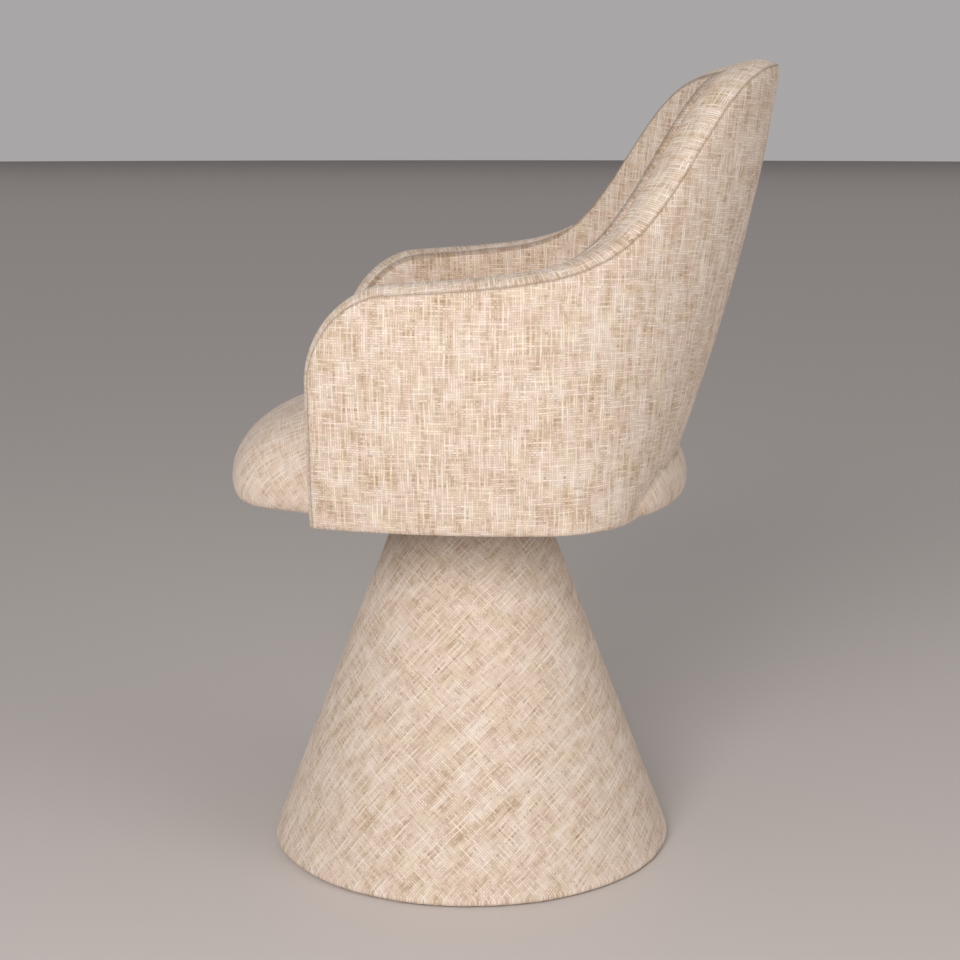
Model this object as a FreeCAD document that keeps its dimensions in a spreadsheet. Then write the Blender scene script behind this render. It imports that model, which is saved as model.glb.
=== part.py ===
import FreeCAD, Part
import math
import os
import Sketcher

Vector = FreeCAD.Vector

doc = FreeCAD.newDocument("swivel_dining_chair")
os.makedirs("parts", exist_ok=True)

# Driving dimensions, in millimetres and degrees. The chair faces -Y, +Z is up,
# and the origin lies on the swivel axis at the floor.
SIZES = [
    ("pedestal_height", 382, "floor to the top of the pedestal's upper disc"),
    ("cone_foot_radius", 224, "covered cone, its straight side carried down to the foot ring"),
    ("cone_top_radius", 77.5, "covered cone at the pedestal's top"),
    ("cone_foot_round", 12, "rounding of the cone's lower edge"),
    ("cover_thickness", 1.2, "upholstery fabric"),
    ("cone_padding_thickness", 4, "foam wrap under the cone's fabric"),
    ("cone_skin_thickness", 4, "bent plywood of the cone"),
    ("foot_ring_height", 4, "glide ring on the floor"),
    ("foot_ring_radius", 207, "glide ring, outside"),
    ("foot_ring_width", 20, "glide ring, inside to outside"),
    ("disc_thickness", 18, "plywood discs of the pedestal"),
    ("ballast_radius", 110, "steel ballast disc"),
    ("ballast_thickness", 12, "steel ballast disc"),
    ("ballast_screw_circle", 85, "radius of the circle of ballast screws"),
    ("ballast_screw_count", 4, "ballast screws"),
    ("rib_count", 6, "upright ribs of the pedestal"),
    ("rib_thickness", 15, "plywood of the ribs"),
    ("rib_foot_inside", 118, "inner edge of a rib at its foot, from the axis"),
    ("rib_top_inside", 40, "inner edge of a rib at its top, from the axis"),
    ("rib_gap", 0.6, "between the ribs and the curved skin"),
    ("screw_shank_radius", 2.2, "wood screws"),
    ("screw_head_radius", 4.4, "wood screws"),
    ("screw_head_height", 2.4, "wood screws"),
    ("screw_length", 16, "wood screws, under the head"),
    ("hole_gap", 0.1, "holes over their screws and bolts, on the radius"),
    ("plate_thickness", 3, "steel swivel plates"),
    ("lower_plate_radius", 60, "lower swivel plate"),
    ("plate_screw_circle", 51, "radius of the circle of lower plate screws"),
    ("plate_screw_count", 4, "lower plate screws"),
    ("bearing_height", 16.2, "between the lower and the upper swivel plate"),
    ("race_radius", 34, "middle of the ball track"),
    ("race_width", 14, "ball races, inside to outside"),
    ("ball_radius", 4, "bearing balls"),
    ("ball_count", 14, "bearing balls"),
    ("ball_gap", 0.3, "running gap round each ball"),
    ("cage_thickness", 1.8, "ball cage"),
    ("cage_gap", 0.6, "between the cage and each race"),
    ("pivot_radius", 6, "pivot bolt"),
    ("pivot_head_radius", 10, "pivot bolt's head"),
    ("pivot_head_height", 7, "pivot bolt's head"),
    ("pivot_run_gap", 0.1, "between the pivot bolt and the upper plate's bore"),
    ("washer_radius", 13, "thrust washer"),
    ("washer_thickness", 2, "thrust washer"),
    ("washer_gap", 0.3, "between the upper plate and the thrust washer"),
    ("lock_nut_flats", 18, "lock nut across its flats"),
    ("lock_nut_height", 7, "lock nut"),
    ("upper_plate_side", 170, "square upper swivel plate"),
    ("upper_plate_corner", 12, "corner rounding of the upper plate"),
    ("seat_bolt_spacing", 140, "seat bolts, in a square"),
    ("seat_bolt_radius", 4, "seat bolts"),
    ("bolt_head_radius", 6.5, "seat bolts' heads"),
    ("bolt_head_height", 4.5, "seat bolts' heads"),
    ("tee_barrel_wall", 1.5, "tee nuts' barrels"),
    ("tee_flange_radius", 10.5, "tee nuts' flanges"),
    ("tee_flange_thickness", 1.5, "tee nuts' flanges"),
    ("board_thickness", 15, "plywood seat board"),
    ("board_inset", 40, "seat board inside the cushion's outline"),
    ("board_bore_radius", 20, "hole in the seat board round the lock nut"),
    ("cushion_thickness", 106, "seat cushion at its crown, board and cover with it"),
    ("cushion_belly_height", 34, "height of the cushion's widest line over its underside"),
    ("cushion_foot_inset", 17, "half-width of the lower edge's oval roll"),
    ("cushion_foot_turn", 72, "how far round its oval the lower edge rolls, in degrees"),
    ("cushion_crown_inset", 175, "half-width of the crown's oval"),
    ("cushion_crown_turn", 79, "how far round its oval the crown rises, in degrees"),
    ("cushion_front", 261, "cushion's nose, in front of the axis"),
    ("cushion_rear", 236, "cushion's rear, behind the axis"),
    ("cushion_front_bow", 330, "radius of the nose's outline"),
    ("cushion_rear_bow", 300, "radius of the rear's outline"),
    ("cushion_front_corner", 66, "corner radius of the nose"),
    ("cushion_rear_corner", 95, "corner radius of the rear"),
    ("cushion_flange", 55, "reach of the cushion's cover under the seat board"),
    ("cushion_side_gap", 1, "between the cushion and the inner cover"),
    ("cushion_wall_gap", 0.4, "between the cushion's rear and the shell cut round it"),
    ("dust_cover_inset", 42, "dust cover inside the cushion's outline"),
    ("dust_cover_thickness", 0.8, "non-woven cloth"),
    ("dust_cover_opening", 200, "square opening round the swivel plate"),
    ("strap_width", 30, "steel straps under the seat"),
    ("strap_thickness", 3, "steel straps under the seat"),
    ("strap_reach", 105, "straps, in front of and behind the axis"),
    ("strap_screw_reach", 108, "inner strap screws from the middle"),
    ("strap_end", 7, "strap past the middle of the frame's edge"),
    ("shell_top", 858, "top of the back at its middle"),
    ("shell_form_top", 890, "upper end of the form that the back is cut from"),
    ("arm_top", 645.5, "arm's top, at the arm's angle round the rim axis"),
    ("arm_angle", 100, "where the arm's top has that height, round the rim axis"),
    ("arm_fall", 0.29, "fall of the arm's top to the front, per degree round the rim axis"),
    ("arm_front", 158.5, "arm's front edge, in front of the axis"),
    ("arm_corner", 96, "rounding of the arm's front corner"),
    ("arm_corner_over", 1.5, "how far the corner's round rises past the rim, so that they meet"),
    ("arm_end_margin", 80, "how far the tool for the arms' ends reaches past their outside"),
    ("rim_axis", 100, "upright axis that the rim's width points at, behind the swivel axis"),
    ("rim_half_turn", 160, "reach of the rim round that axis, each way from the back's middle"),
    ("rim_step", 10, "spacing of the rim's guide points round that axis"),
    ("rim_inner_reach", 40, "inner end of the rim's width, clear inside the walls"),
    ("rim_outer_reach", 460, "outer end of the rim's width, clear outside the walls"),
    ("wing_angle", 62.2, "middle of the wing's rise, round the rim axis"),
    ("wing_spread", 9.3, "softness of the wing's rise"),
    ("shell_thickness", 52, "arms and back, cover to cover"),
    ("outer_padding", 8, "foam between outer cover and frame"),
    ("frame_thickness", 12, "bent plywood of arms and back"),
    ("rim_padding", 14, "foam over the frame's upper edge"),
    ("shell_low_half_width", 250, "shell at its lower edge"),
    ("shell_arm_half_width", 272, "shell at the arms' top"),
    ("shell_top_half_width", 258, "shell's form at the back's top"),
    ("shell_low_widest", 40, "widest place behind the axis, lower edge"),
    ("shell_arm_widest", 25, "widest place behind the axis, arms' top"),
    ("shell_top_widest", 65, "widest place behind the axis, back's top"),
    ("shell_side_bow", 576, "plan radius of the shell's sides"),
    ("shell_low_rear_bow", 420, "plan radius of the back at its lower edge"),
    ("shell_top_rear_bow", 290, "plan radius of the back above the arms"),
    ("shell_low_corner", 110, "plan corner radius at the lower edge"),
    ("shell_top_corner", 195, "plan corner radius above the arms"),
    ("shell_low_rear", 207, "back's outside behind the axis at the lower edge"),
    ("back_lean", 21.3, "lean of the back's outside at its lower edge, in degrees"),
    ("back_bow", 60, "how far the back curls upright over its height"),
]

sizes = doc.addObject("Spreadsheet::Sheet", "sizes")
for row, (alias, value, note) in enumerate(SIZES, start=1):
    sizes.set(f"A{row}", note)
    sizes.set(f"B{row}", str(value))
    sizes.setAlias(f"B{row}", alias)
doc.recompute()

# Levels and radii that several pieces share, as expressions on the sheet
cone_run = "(sizes.pedestal_height - sizes.foot_ring_height)"
cone_slope = f"((sizes.cone_foot_radius - sizes.cone_top_radius) / {cone_run})"
layer_stretch = f"sqrt(1 + {cone_slope} * {cone_slope})"
foot_disc_low = "(sizes.foot_ring_height + sizes.cover_thickness)"
foot_disc_top = f"({foot_disc_low} + sizes.disc_thickness)"
top_disc_low = "(sizes.pedestal_height - sizes.disc_thickness)"
padding_inset = "sizes.cover_thickness"
skin_inset = f"({padding_inset} + sizes.cone_padding_thickness)"
rib_inset = f"({skin_inset} + sizes.cone_skin_thickness)"
lower_plate_top = "(sizes.pedestal_height + sizes.plate_thickness)"
upper_plate_low = f"({lower_plate_top} + sizes.bearing_height)"
upper_plate_top = f"({upper_plate_low} + sizes.plate_thickness)"
track_level = f"({lower_plate_top} + sizes.bearing_height / 2)"
race_clear = "(sizes.cage_thickness / 2 + sizes.cage_gap)"
groove_radius = "(sizes.ball_radius + sizes.ball_gap)"
washer_low = f"({upper_plate_top} + sizes.washer_gap)"
nut_low = f"({washer_low} + sizes.washer_thickness)"
cushion_low = f"({upper_plate_top} - sizes.cover_thickness)"
board_top = f"({upper_plate_top} + sizes.board_thickness)"
strap_low = f"({cushion_low} - sizes.strap_thickness)"
tee_barrel_radius = "(sizes.seat_bolt_radius + sizes.tee_barrel_wall)"
tee_flange_low = f"({board_top} - sizes.tee_flange_thickness)"
shank_hole = "(sizes.screw_shank_radius + sizes.hole_gap)"


def number(expression):
    """Value of an expression on the sheet, as a plain number."""
    return float(sizes.evalExpression(expression))


def cone_radius(inset, level):
    """Radius of the cone's side at a level, a layer's depth under the fabric."""
    return (f"(sizes.cone_foot_radius - {inset} * {layer_stretch}"
            f" - ({level} - sizes.foot_ring_height) * {cone_slope})")


# Each named sub-part ends up here under its label
nodes = {}


def keep(label, item):
    """Name a finished sub-part."""
    item.Label = label
    nodes[label] = item
    return item


def new_body(label):
    """A body whose separate solids, where it has some, are one group."""
    body = doc.addObject("PartDesign::Body", label)
    if hasattr(body, "AllowCompound"):
        body.AllowCompound = True
    return keep(label, body)


def datum(body, role):
    """One of a body's own planes or axes."""
    for item in body.Origin.OriginFeatures:
        if item.Role == role:
            return item
    raise ValueError(role)


def new_sketch(body, role, level=None):
    """A sketch on one of the body's planes, lifted to a level."""
    sketch = body.newObject("Sketcher::SketchObject", f"{body.Name}_sketch")
    sketch.AttachmentSupport = [(datum(body, role), "")]
    sketch.MapMode = "FlatFace"
    if level:
        sketch.setExpression("AttachmentOffset.Base.z", level)
    return sketch


def fix(sketch, constraint, expression):
    """Add a dimension and bind it to the sheet."""
    index = sketch.addConstraint(constraint)
    sketch.setExpression(f"Constraints[{index}]", expression)


def place_point(sketch, shape, point, across, up):
    """Dimension a point from the sketch's origin."""
    for kind, expression in (("DistanceX", across), ("DistanceY", up)):
        if expression == "0":
            line = -2 if kind == "DistanceX" else -1
            sketch.addConstraint(Sketcher.Constraint("PointOnObject", shape, point, line))
        else:
            dimension = Sketcher.Constraint(kind, -1, 1, shape, point, number(expression))
            fix(sketch, dimension, expression)


def draw_circle(sketch, radius, across="0", up="0"):
    """A circle with its radius and centre dimensioned."""
    centre = Vector(number(across), number(up), 0)
    shape = sketch.addGeometry(Part.Circle(centre, Vector(0, 0, 1), number(radius)), False)
    place_point(sketch, shape, 3, across, up)
    fix(sketch, Sketcher.Constraint("Radius", shape, number(radius)), radius)


def draw_outline(sketch, corners):
    """A closed outline of straight lines through dimensioned corners."""
    spots = [Vector(number(across), number(up), 0) for across, up in corners]
    lines = []
    for start, end in zip(spots, spots[1:] + spots[:1]):
        lines.append(sketch.addGeometry(Part.LineSegment(start, end), False))
    for line, following in zip(lines, lines[1:] + lines[:1]):
        sketch.addConstraint(Sketcher.Constraint("Coincident", line, 2, following, 1))
    for line, (across, up) in zip(lines, corners):
        place_point(sketch, line, 1, across, up)


def extrude(body, kind, sketch, length):
    """A Pad that rises from its sketch, or a Pocket that sinks from it."""
    feature = body.newObject(f"PartDesign::{kind}", f"{body.Name}_{kind}")
    feature.Profile = sketch
    feature.setExpression("Length", length)
    sketch.Visibility = False
    doc.recompute()
    return feature


def revolve(body, corners):
    """Turn an outline in radius and height once round the upright axis."""
    sketch = new_sketch(body, "XZ_Plane")
    draw_outline(sketch, corners)
    feature = body.newObject("PartDesign::Revolution", f"{body.Name}_turned")
    feature.Profile = sketch
    feature.ReferenceAxis = (sketch, ["V_Axis"])
    feature.Angle = 360
    doc.recompute()
    return feature


def repeat_round(body, feature, count):
    """Repeat a feature round the upright axis."""
    pattern = body.newObject("PartDesign::PolarPattern", f"{body.Name}_round")
    pattern.Originals = [feature]
    pattern.Axis = (datum(body, "Z_Axis"), [""])
    pattern.Angle = 360
    pattern.setExpression("Occurrences", count)
    body.Tip = pattern
    doc.recompute()
    return pattern


def round_edge(body, feature, radius, level, ring_radius):
    """Round the circular edge that lies at a level and a radius."""
    wanted = (number(level), number(ring_radius))
    names = []
    for index, edge in enumerate(feature.Shape.Edges, start=1):
        box = edge.BoundBox
        if abs(box.ZMin - wanted[0]) < 0.01 and abs(box.ZMax - wanted[0]) < 0.01:
            if abs(box.XMax - wanted[1]) < 0.5:
                names.append(f"Edge{index}")
    fillet = body.newObject("PartDesign::Fillet", f"{body.Name}_rounded")
    fillet.Base = (feature, names)
    fillet.setExpression("Radius", radius)
    body.Tip = fillet
    doc.recompute()
    return fillet


def drill(body, level, depth, radius, across, up="0", count=None):
    """A round hole sunk from a level, repeated round the axis if a count is given."""
    sketch = new_sketch(body, "XY_Plane", level)
    draw_circle(sketch, radius, across, up)
    before = body.Shape.Volume
    pocket = extrude(body, "Pocket", sketch, depth)
    if count:
        repeat_round(body, pocket, count)
    assert body.Shape.Volume < before
    return pocket


def cylinder(name, radius, height, low, across="0", up="0"):
    """An upright cylinder from a level."""
    item = doc.addObject("Part::Cylinder", name)
    item.setExpression("Radius", radius)
    item.setExpression("Height", height)
    item.setExpression("Placement.Base.x", across)
    item.setExpression("Placement.Base.y", up)
    item.setExpression("Placement.Base.z", low)
    return item


def cut(name, base, tool):
    """One primitive less another."""
    item = doc.addObject("Part::Cut", name)
    item.Base = base
    item.Tool = tool
    return item


def fuse(name, items):
    """Primitives joined into one solid."""
    item = doc.addObject("Part::MultiFuse", name)
    item.Shapes = items
    return item


def group(name, items):
    """Separate like solids kept as one named group."""
    item = doc.addObject("Part::Compound", name)
    item.Links = items
    return item


def shaped(label, shape):
    """A sub-part whose form is computed from the sheet's values."""
    item = doc.addObject("Part::Feature", label)
    item.Shape = shape
    item.Placement = FreeCAD.Placement()
    return keep(label, item)


# The pedestal


def foot_ring():
    """Black glide ring that the pedestal stands on."""
    body = new_body("foot_ring")
    inside = "(sizes.foot_ring_radius - sizes.foot_ring_width)"
    revolve(body, [
        (inside, "0"),
        ("sizes.foot_ring_radius", "0"),
        ("sizes.foot_ring_radius", "sizes.foot_ring_height"),
        (inside, "sizes.foot_ring_height"),
    ])


def bottom_disc():
    """Plywood foot of the pedestal, with a coned and rounded edge under the fabric."""
    body = new_body("bottom_disc")
    foot_radius = cone_radius(padding_inset, foot_disc_low)
    disc = revolve(body, [
        ("0", foot_disc_low),
        (foot_radius, foot_disc_low),
        (cone_radius(padding_inset, foot_disc_top), foot_disc_top),
        ("0", foot_disc_top),
    ])
    rounding = "(sizes.cone_foot_round - sizes.cover_thickness)"
    round_edge(body, disc, rounding, foot_disc_low, foot_radius)
    drill(body, foot_disc_top, "(sizes.screw_length - sizes.ballast_thickness)", shank_hole,
          "sizes.ballast_screw_circle", count="sizes.ballast_screw_count")


def ballast_disc():
    """Steel disc that keeps the chair from tipping."""
    body = new_body("ballast_disc")
    sketch = new_sketch(body, "XY_Plane", foot_disc_top)
    draw_circle(sketch, "sizes.ballast_radius")
    extrude(body, "Pad", sketch, "sizes.ballast_thickness")
    drill(body, f"({foot_disc_top} + sizes.ballast_thickness)", "sizes.ballast_thickness",
          shank_hole, "sizes.ballast_screw_circle", count="sizes.ballast_screw_count")


def wood_screws(label, head_low, circle, count):
    """Pan-head screws driven straight down on a circle."""
    body = new_body(label)
    head = new_sketch(body, "XY_Plane", head_low)
    draw_circle(head, "sizes.screw_head_radius", circle)
    head_pad = extrude(body, "Pad", head, "sizes.screw_head_height")
    shank = new_sketch(body, "XY_Plane", f"({head_low} - sizes.screw_length)")
    draw_circle(shank, "sizes.screw_shank_radius", circle)
    shank_pad = extrude(body, "Pad", shank, "sizes.screw_length")
    pattern = repeat_round(body, head_pad, count)
    pattern.Originals = [head_pad, shank_pad]
    doc.recompute()


def cone_ribs():
    """Upright plywood ribs between the two discs."""
    body = new_body("cone_ribs")
    sketch = new_sketch(body, "XZ_Plane")
    inset = f"({rib_inset} + sizes.rib_gap)"
    draw_outline(sketch, [
        ("sizes.rib_foot_inside", foot_disc_top),
        (cone_radius(inset, foot_disc_top), foot_disc_top),
        (cone_radius(inset, top_disc_low), top_disc_low),
        ("sizes.rib_top_inside", top_disc_low),
    ])
    rib = extrude(body, "Pad", sketch, "sizes.rib_thickness")
    rib.Midplane = True
    doc.recompute()
    repeat_round(body, rib, "sizes.rib_count")


def top_disc():
    """Plywood head of the pedestal, with a recess for the pivot bolt's head."""
    body = new_body("top_disc")
    revolve(body, [
        ("0", top_disc_low),
        (cone_radius(rib_inset, top_disc_low), top_disc_low),
        (cone_radius(rib_inset, "sizes.pedestal_height"), "sizes.pedestal_height"),
        ("0", "sizes.pedestal_height"),
    ])
    drill(body, "sizes.pedestal_height", "(sizes.pivot_head_height + sizes.hole_gap)",
          "(sizes.pivot_head_radius + sizes.hole_gap)", "0")
    drill(body, "sizes.pedestal_height", "(sizes.screw_length - sizes.plate_thickness)",
          shank_hole, "sizes.plate_screw_circle", count="sizes.plate_screw_count")


def cone_layer(label, inset, thickness):
    """One conical layer that stands on the foot disc."""
    body = new_body(label)
    inner = f"({inset} + {thickness})"
    revolve(body, [
        (cone_radius(inner, foot_disc_top), foot_disc_top),
        (cone_radius(inset, foot_disc_top), foot_disc_top),
        (cone_radius(inset, "sizes.pedestal_height"), "sizes.pedestal_height"),
        (cone_radius(inner, "sizes.pedestal_height"), "sizes.pedestal_height"),
    ])


def cone_cover():
    """Fabric over the cone, turned under the foot disc and over the top disc."""
    body = new_body("cone_cover")
    cover_top = "(sizes.pedestal_height + sizes.cover_thickness)"
    foot_hem = "(sizes.foot_ring_radius - sizes.foot_ring_width)"
    top_hem = "(sizes.lower_plate_radius + sizes.hole_gap)"
    outer_foot = cone_radius("0", "sizes.foot_ring_height")
    inner_foot = cone_radius(padding_inset, foot_disc_low)
    cover = revolve(body, [
        (foot_hem, "sizes.foot_ring_height"),
        (outer_foot, "sizes.foot_ring_height"),
        (cone_radius("0", cover_top), cover_top),
        (top_hem, cover_top),
        (top_hem, "sizes.pedestal_height"),
        (cone_radius(padding_inset, "sizes.pedestal_height"), "sizes.pedestal_height"),
        (inner_foot, foot_disc_low),
        (foot_hem, foot_disc_low),
    ])
    inner_rounding = "(sizes.cone_foot_round - sizes.cover_thickness)"
    inside = round_edge(body, cover, inner_rounding, foot_disc_low, inner_foot)
    round_edge(body, inside, "sizes.cone_foot_round", "sizes.foot_ring_height", outer_foot)


# The swivel


def lower_plate():
    """Round steel plate on the pedestal."""
    body = new_body("lower_swivel_plate")
    sketch = new_sketch(body, "XY_Plane", "sizes.pedestal_height")
    draw_circle(sketch, "sizes.lower_plate_radius")
    draw_circle(sketch, "(sizes.pivot_radius + sizes.hole_gap)")
    extrude(body, "Pad", sketch, "sizes.plate_thickness")
    drill(body, lower_plate_top, "sizes.plate_thickness", shank_hole,
          "sizes.plate_screw_circle", count="sizes.plate_screw_count")


def race(label, low, height):
    """Steel ring with half of the ball track in it."""
    outside = "(sizes.race_radius + sizes.race_width / 2)"
    inside = "(sizes.race_radius - sizes.race_width / 2)"
    disc = cylinder(f"{label}_disc", outside, height, low)
    bore = cylinder(f"{label}_bore", inside, height, low)
    track = doc.addObject("Part::Torus", f"{label}_track")
    track.setExpression("Radius1", "sizes.race_radius")
    track.setExpression("Radius2", groove_radius)
    track.setExpression("Placement.Base.z", track_level)
    keep(label, cut(label, cut(f"{label}_ring", disc, bore), track))


def ball_cage():
    """Flat ring with a pocket round each ball."""
    body = new_body("ball_cage")
    sketch = new_sketch(body, "XY_Plane", f"({track_level} - sizes.cage_thickness / 2)")
    draw_circle(sketch, "(sizes.race_radius + sizes.race_width / 2 - 1)")
    draw_circle(sketch, "(sizes.race_radius - sizes.race_width / 2 + 1)")
    extrude(body, "Pad", sketch, "sizes.cage_thickness")
    drill(body, f"({track_level} + sizes.cage_thickness / 2)", "sizes.cage_thickness",
          groove_radius, "sizes.race_radius", count="sizes.ball_count")


def bearing_balls():
    """Steel balls in the track."""
    body = new_body("bearing_balls")
    ball = body.newObject("PartDesign::AdditiveSphere", "bearing_ball")
    ball.AttachmentSupport = [(datum(body, "XY_Plane"), "")]
    ball.MapMode = "FlatFace"
    ball.setExpression("Radius", "sizes.ball_radius")
    ball.setExpression("AttachmentOffset.Base.x", "sizes.race_radius")
    ball.setExpression("AttachmentOffset.Base.z", track_level)
    doc.recompute()
    repeat_round(body, ball, "sizes.ball_count")


def pivot():
    """Bolt up through both plates, its thrust washer and its lock nut."""
    head = cylinder("pivot_head", "sizes.pivot_head_radius", "sizes.pivot_head_height",
                    "(sizes.pedestal_height - sizes.pivot_head_height)")
    shank_length = f"({nut_low} + sizes.lock_nut_height + 1 - sizes.pedestal_height)"
    shank = cylinder("pivot_shank", "sizes.pivot_radius", shank_length, "sizes.pedestal_height")
    keep("pivot_bolt", fuse("pivot_bolt", [head, shank]))
    bore = "(sizes.pivot_radius + sizes.hole_gap)"
    disc = cylinder("washer_disc", "sizes.washer_radius", "sizes.washer_thickness", washer_low)
    hole = cylinder("washer_hole", bore, "sizes.washer_thickness", washer_low)
    keep("thrust_washer", cut("thrust_washer", disc, hole))
    hexagon = doc.addObject("Part::Prism", "nut_hexagon")
    hexagon.Polygon = 6
    hexagon.setExpression("Circumradius", "sizes.lock_nut_flats / sqrt(3)")
    hexagon.setExpression("Height", "sizes.lock_nut_height")
    hexagon.setExpression("Placement.Base.z", nut_low)
    thread = cylinder("nut_thread", bore, "sizes.lock_nut_height", nut_low)
    keep("lock_nut", cut("lock_nut", hexagon, thread))


def square_spots(spacing):
    """The four corners of a square, as expressions."""
    half = f"({spacing} / 2)"
    return [(half, half), (f"(-{half})", half), (f"(-{half})", f"(-{half})"), (half, f"(-{half})")]


def upper_plate():
    """Square steel plate under the seat board."""
    body = new_body("upper_swivel_plate")
    sketch = new_sketch(body, "XY_Plane", upper_plate_low)
    draw_outline(sketch, square_spots("sizes.upper_plate_side"))
    plate = extrude(body, "Pad", sketch, "sizes.plate_thickness")
    upright = [f"Edge{index}" for index, edge in enumerate(plate.Shape.Edges, start=1)
               if edge.BoundBox.ZLength > 1]
    corners = body.newObject("PartDesign::Fillet", "upper_plate_corners")
    corners.Base = (plate, upright)
    corners.setExpression("Radius", "sizes.upper_plate_corner")
    doc.recompute()
    drill(body, upper_plate_top, "sizes.plate_thickness",
          "(sizes.pivot_radius + sizes.pivot_run_gap)", "0")
    for across, up in square_spots("sizes.seat_bolt_spacing"):
        drill(body, upper_plate_top, "sizes.plate_thickness",
              "(sizes.seat_bolt_radius + sizes.hole_gap)", across, up)


def seat_bolts():
    """Bolts up through the upper plate, and the tee nuts that they reach."""
    bolts = []
    tee_nuts = []
    barrel_length = f"({tee_flange_low} - {upper_plate_top})"
    thread = "(sizes.seat_bolt_radius + sizes.hole_gap)"
    for index, (across, up) in enumerate(square_spots("sizes.seat_bolt_spacing")):
        spot = (across, up)
        head = cylinder(f"bolt_head_{index}", "sizes.bolt_head_radius", "sizes.bolt_head_height",
                        f"({upper_plate_low} - sizes.bolt_head_height)", *spot)
        shank = cylinder(f"bolt_shank_{index}", "sizes.seat_bolt_radius",
                         f"({board_top} - {upper_plate_low})", upper_plate_low, *spot)
        bolts.append(fuse(f"seat_bolt_{index}", [head, shank]))
        barrel = cylinder(f"tee_barrel_{index}", tee_barrel_radius, barrel_length,
                          upper_plate_top, *spot)
        flange = cylinder(f"tee_flange_{index}", "sizes.tee_flange_radius",
                          "sizes.tee_flange_thickness", tee_flange_low, *spot)
        bore = cylinder(f"tee_bore_{index}", thread, f"({board_top} - {upper_plate_top})",
                        upper_plate_top, *spot)
        tee_nuts.append(cut(f"tee_nut_{index}", fuse(f"tee_body_{index}", [barrel, flange]), bore))
    keep("seat_bolts", group("seat_bolts", bolts))
    keep("tee_nuts", group("tee_nuts", tee_nuts))


# Outlines of tangent arcs, which the cushion, its board and the shell share


def arc_between(centre, start, end):
    """The short arc from start to end round a centre."""
    middle = (start - centre) + (end - centre)
    middle.normalize()
    return Part.Arc(start, centre + middle * (start - centre).Length, end).toShape()


def corner_centre(side, side_radius, end, end_radius, corner, forward):
    """Centre of the corner arc that touches a side arc and an end arc from inside."""
    reach_side = side_radius - corner
    reach_end = end_radius - corner
    line = end - side
    span = line.Length
    along = (reach_side ** 2 - reach_end ** 2 + span ** 2) / (2 * span)
    across = math.sqrt(max(reach_side ** 2 - along ** 2, 0))
    line.normalize()
    foot = side + line * along
    offset = Vector(-line.y, line.x, 0) * across
    wanted = min if forward else max
    return wanted((foot + offset, foot - offset), key=lambda spot: spot.y)


def outline(level, plan):
    """Closed outline of eight tangent arcs: two ends, two sides and four corners."""
    side = Vector(plan["half_width"] - plan["side_bow"], plan["widest"], level)
    front = Vector(0, -plan["front"] + plan["front_bow"], level)
    rear = Vector(0, plan["rear"] - plan["rear_bow"], level)
    ends = []
    for end, bow, corner, forward in (
            (front, plan["front_bow"], plan["front_corner"], True),
            (rear, plan["rear_bow"], plan["rear_corner"], False)):
        middle = corner_centre(side, plan["side_bow"], end, bow, corner, forward)
        on_end = end + (middle - end) * (bow / (middle - end).Length)
        on_side = side + (middle - side) * (plan["side_bow"] / (middle - side).Length)
        ends.append((end, middle, on_end, on_side))
    (front, front_middle, front_end, front_side) = ends[0]
    (rear, rear_middle, rear_end, rear_side) = ends[1]

    def mirrored(spot):
        return Vector(-spot.x, spot.y, spot.z)

    return Part.Wire([
        arc_between(front, mirrored(front_end), front_end),
        arc_between(front_middle, front_end, front_side),
        arc_between(side, front_side, rear_side),
        arc_between(rear_middle, rear_side, rear_end),
        arc_between(rear, rear_end, mirrored(rear_end)),
        arc_between(mirrored(rear_middle), mirrored(rear_end), mirrored(rear_side)),
        arc_between(mirrored(side), mirrored(rear_side), mirrored(front_side)),
        arc_between(mirrored(front_middle), mirrored(front_side), mirrored(front_end)),
    ])


def block(wire, height):
    """Upright solid over an outline."""
    return Part.Face(wire).extrude(Vector(0, 0, height))


def measure(*names):
    """Several of the sheet's values at once."""
    return [number(f"sizes.{name}") for name in names]


# The seat cushion


def cushion_plan(inset, depth=0):
    """Outline of the cushion, shrunk to its own likeness by an inset, less a layer's depth."""
    half, side_bow, widest, thickness, gap = measure(
        "shell_low_half_width", "shell_side_bow", "shell_low_widest", "shell_thickness",
        "cushion_side_gap")
    front, rear, front_bow, rear_bow, front_corner, rear_corner = measure(
        "cushion_front", "cushion_rear", "cushion_front_bow", "cushion_rear_bow",
        "cushion_front_corner", "cushion_rear_corner")
    half_width = half - thickness - gap
    shrink = (half_width - inset) / half_width
    centre = (rear - front) / 2
    return {
        "half_width": half_width * shrink - depth,
        "widest": centre + (widest - centre) * shrink,
        "front": (front + centre) * shrink - centre - depth,
        "rear": (rear - centre) * shrink + centre - depth,
        "side_bow": (side_bow - thickness - gap) * shrink - depth,
        "front_bow": front_bow * shrink - depth,
        "rear_bow": rear_bow * shrink - depth,
        "front_corner": front_corner * shrink - depth,
        "rear_corner": rear_corner * shrink - depth,
    }


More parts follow.
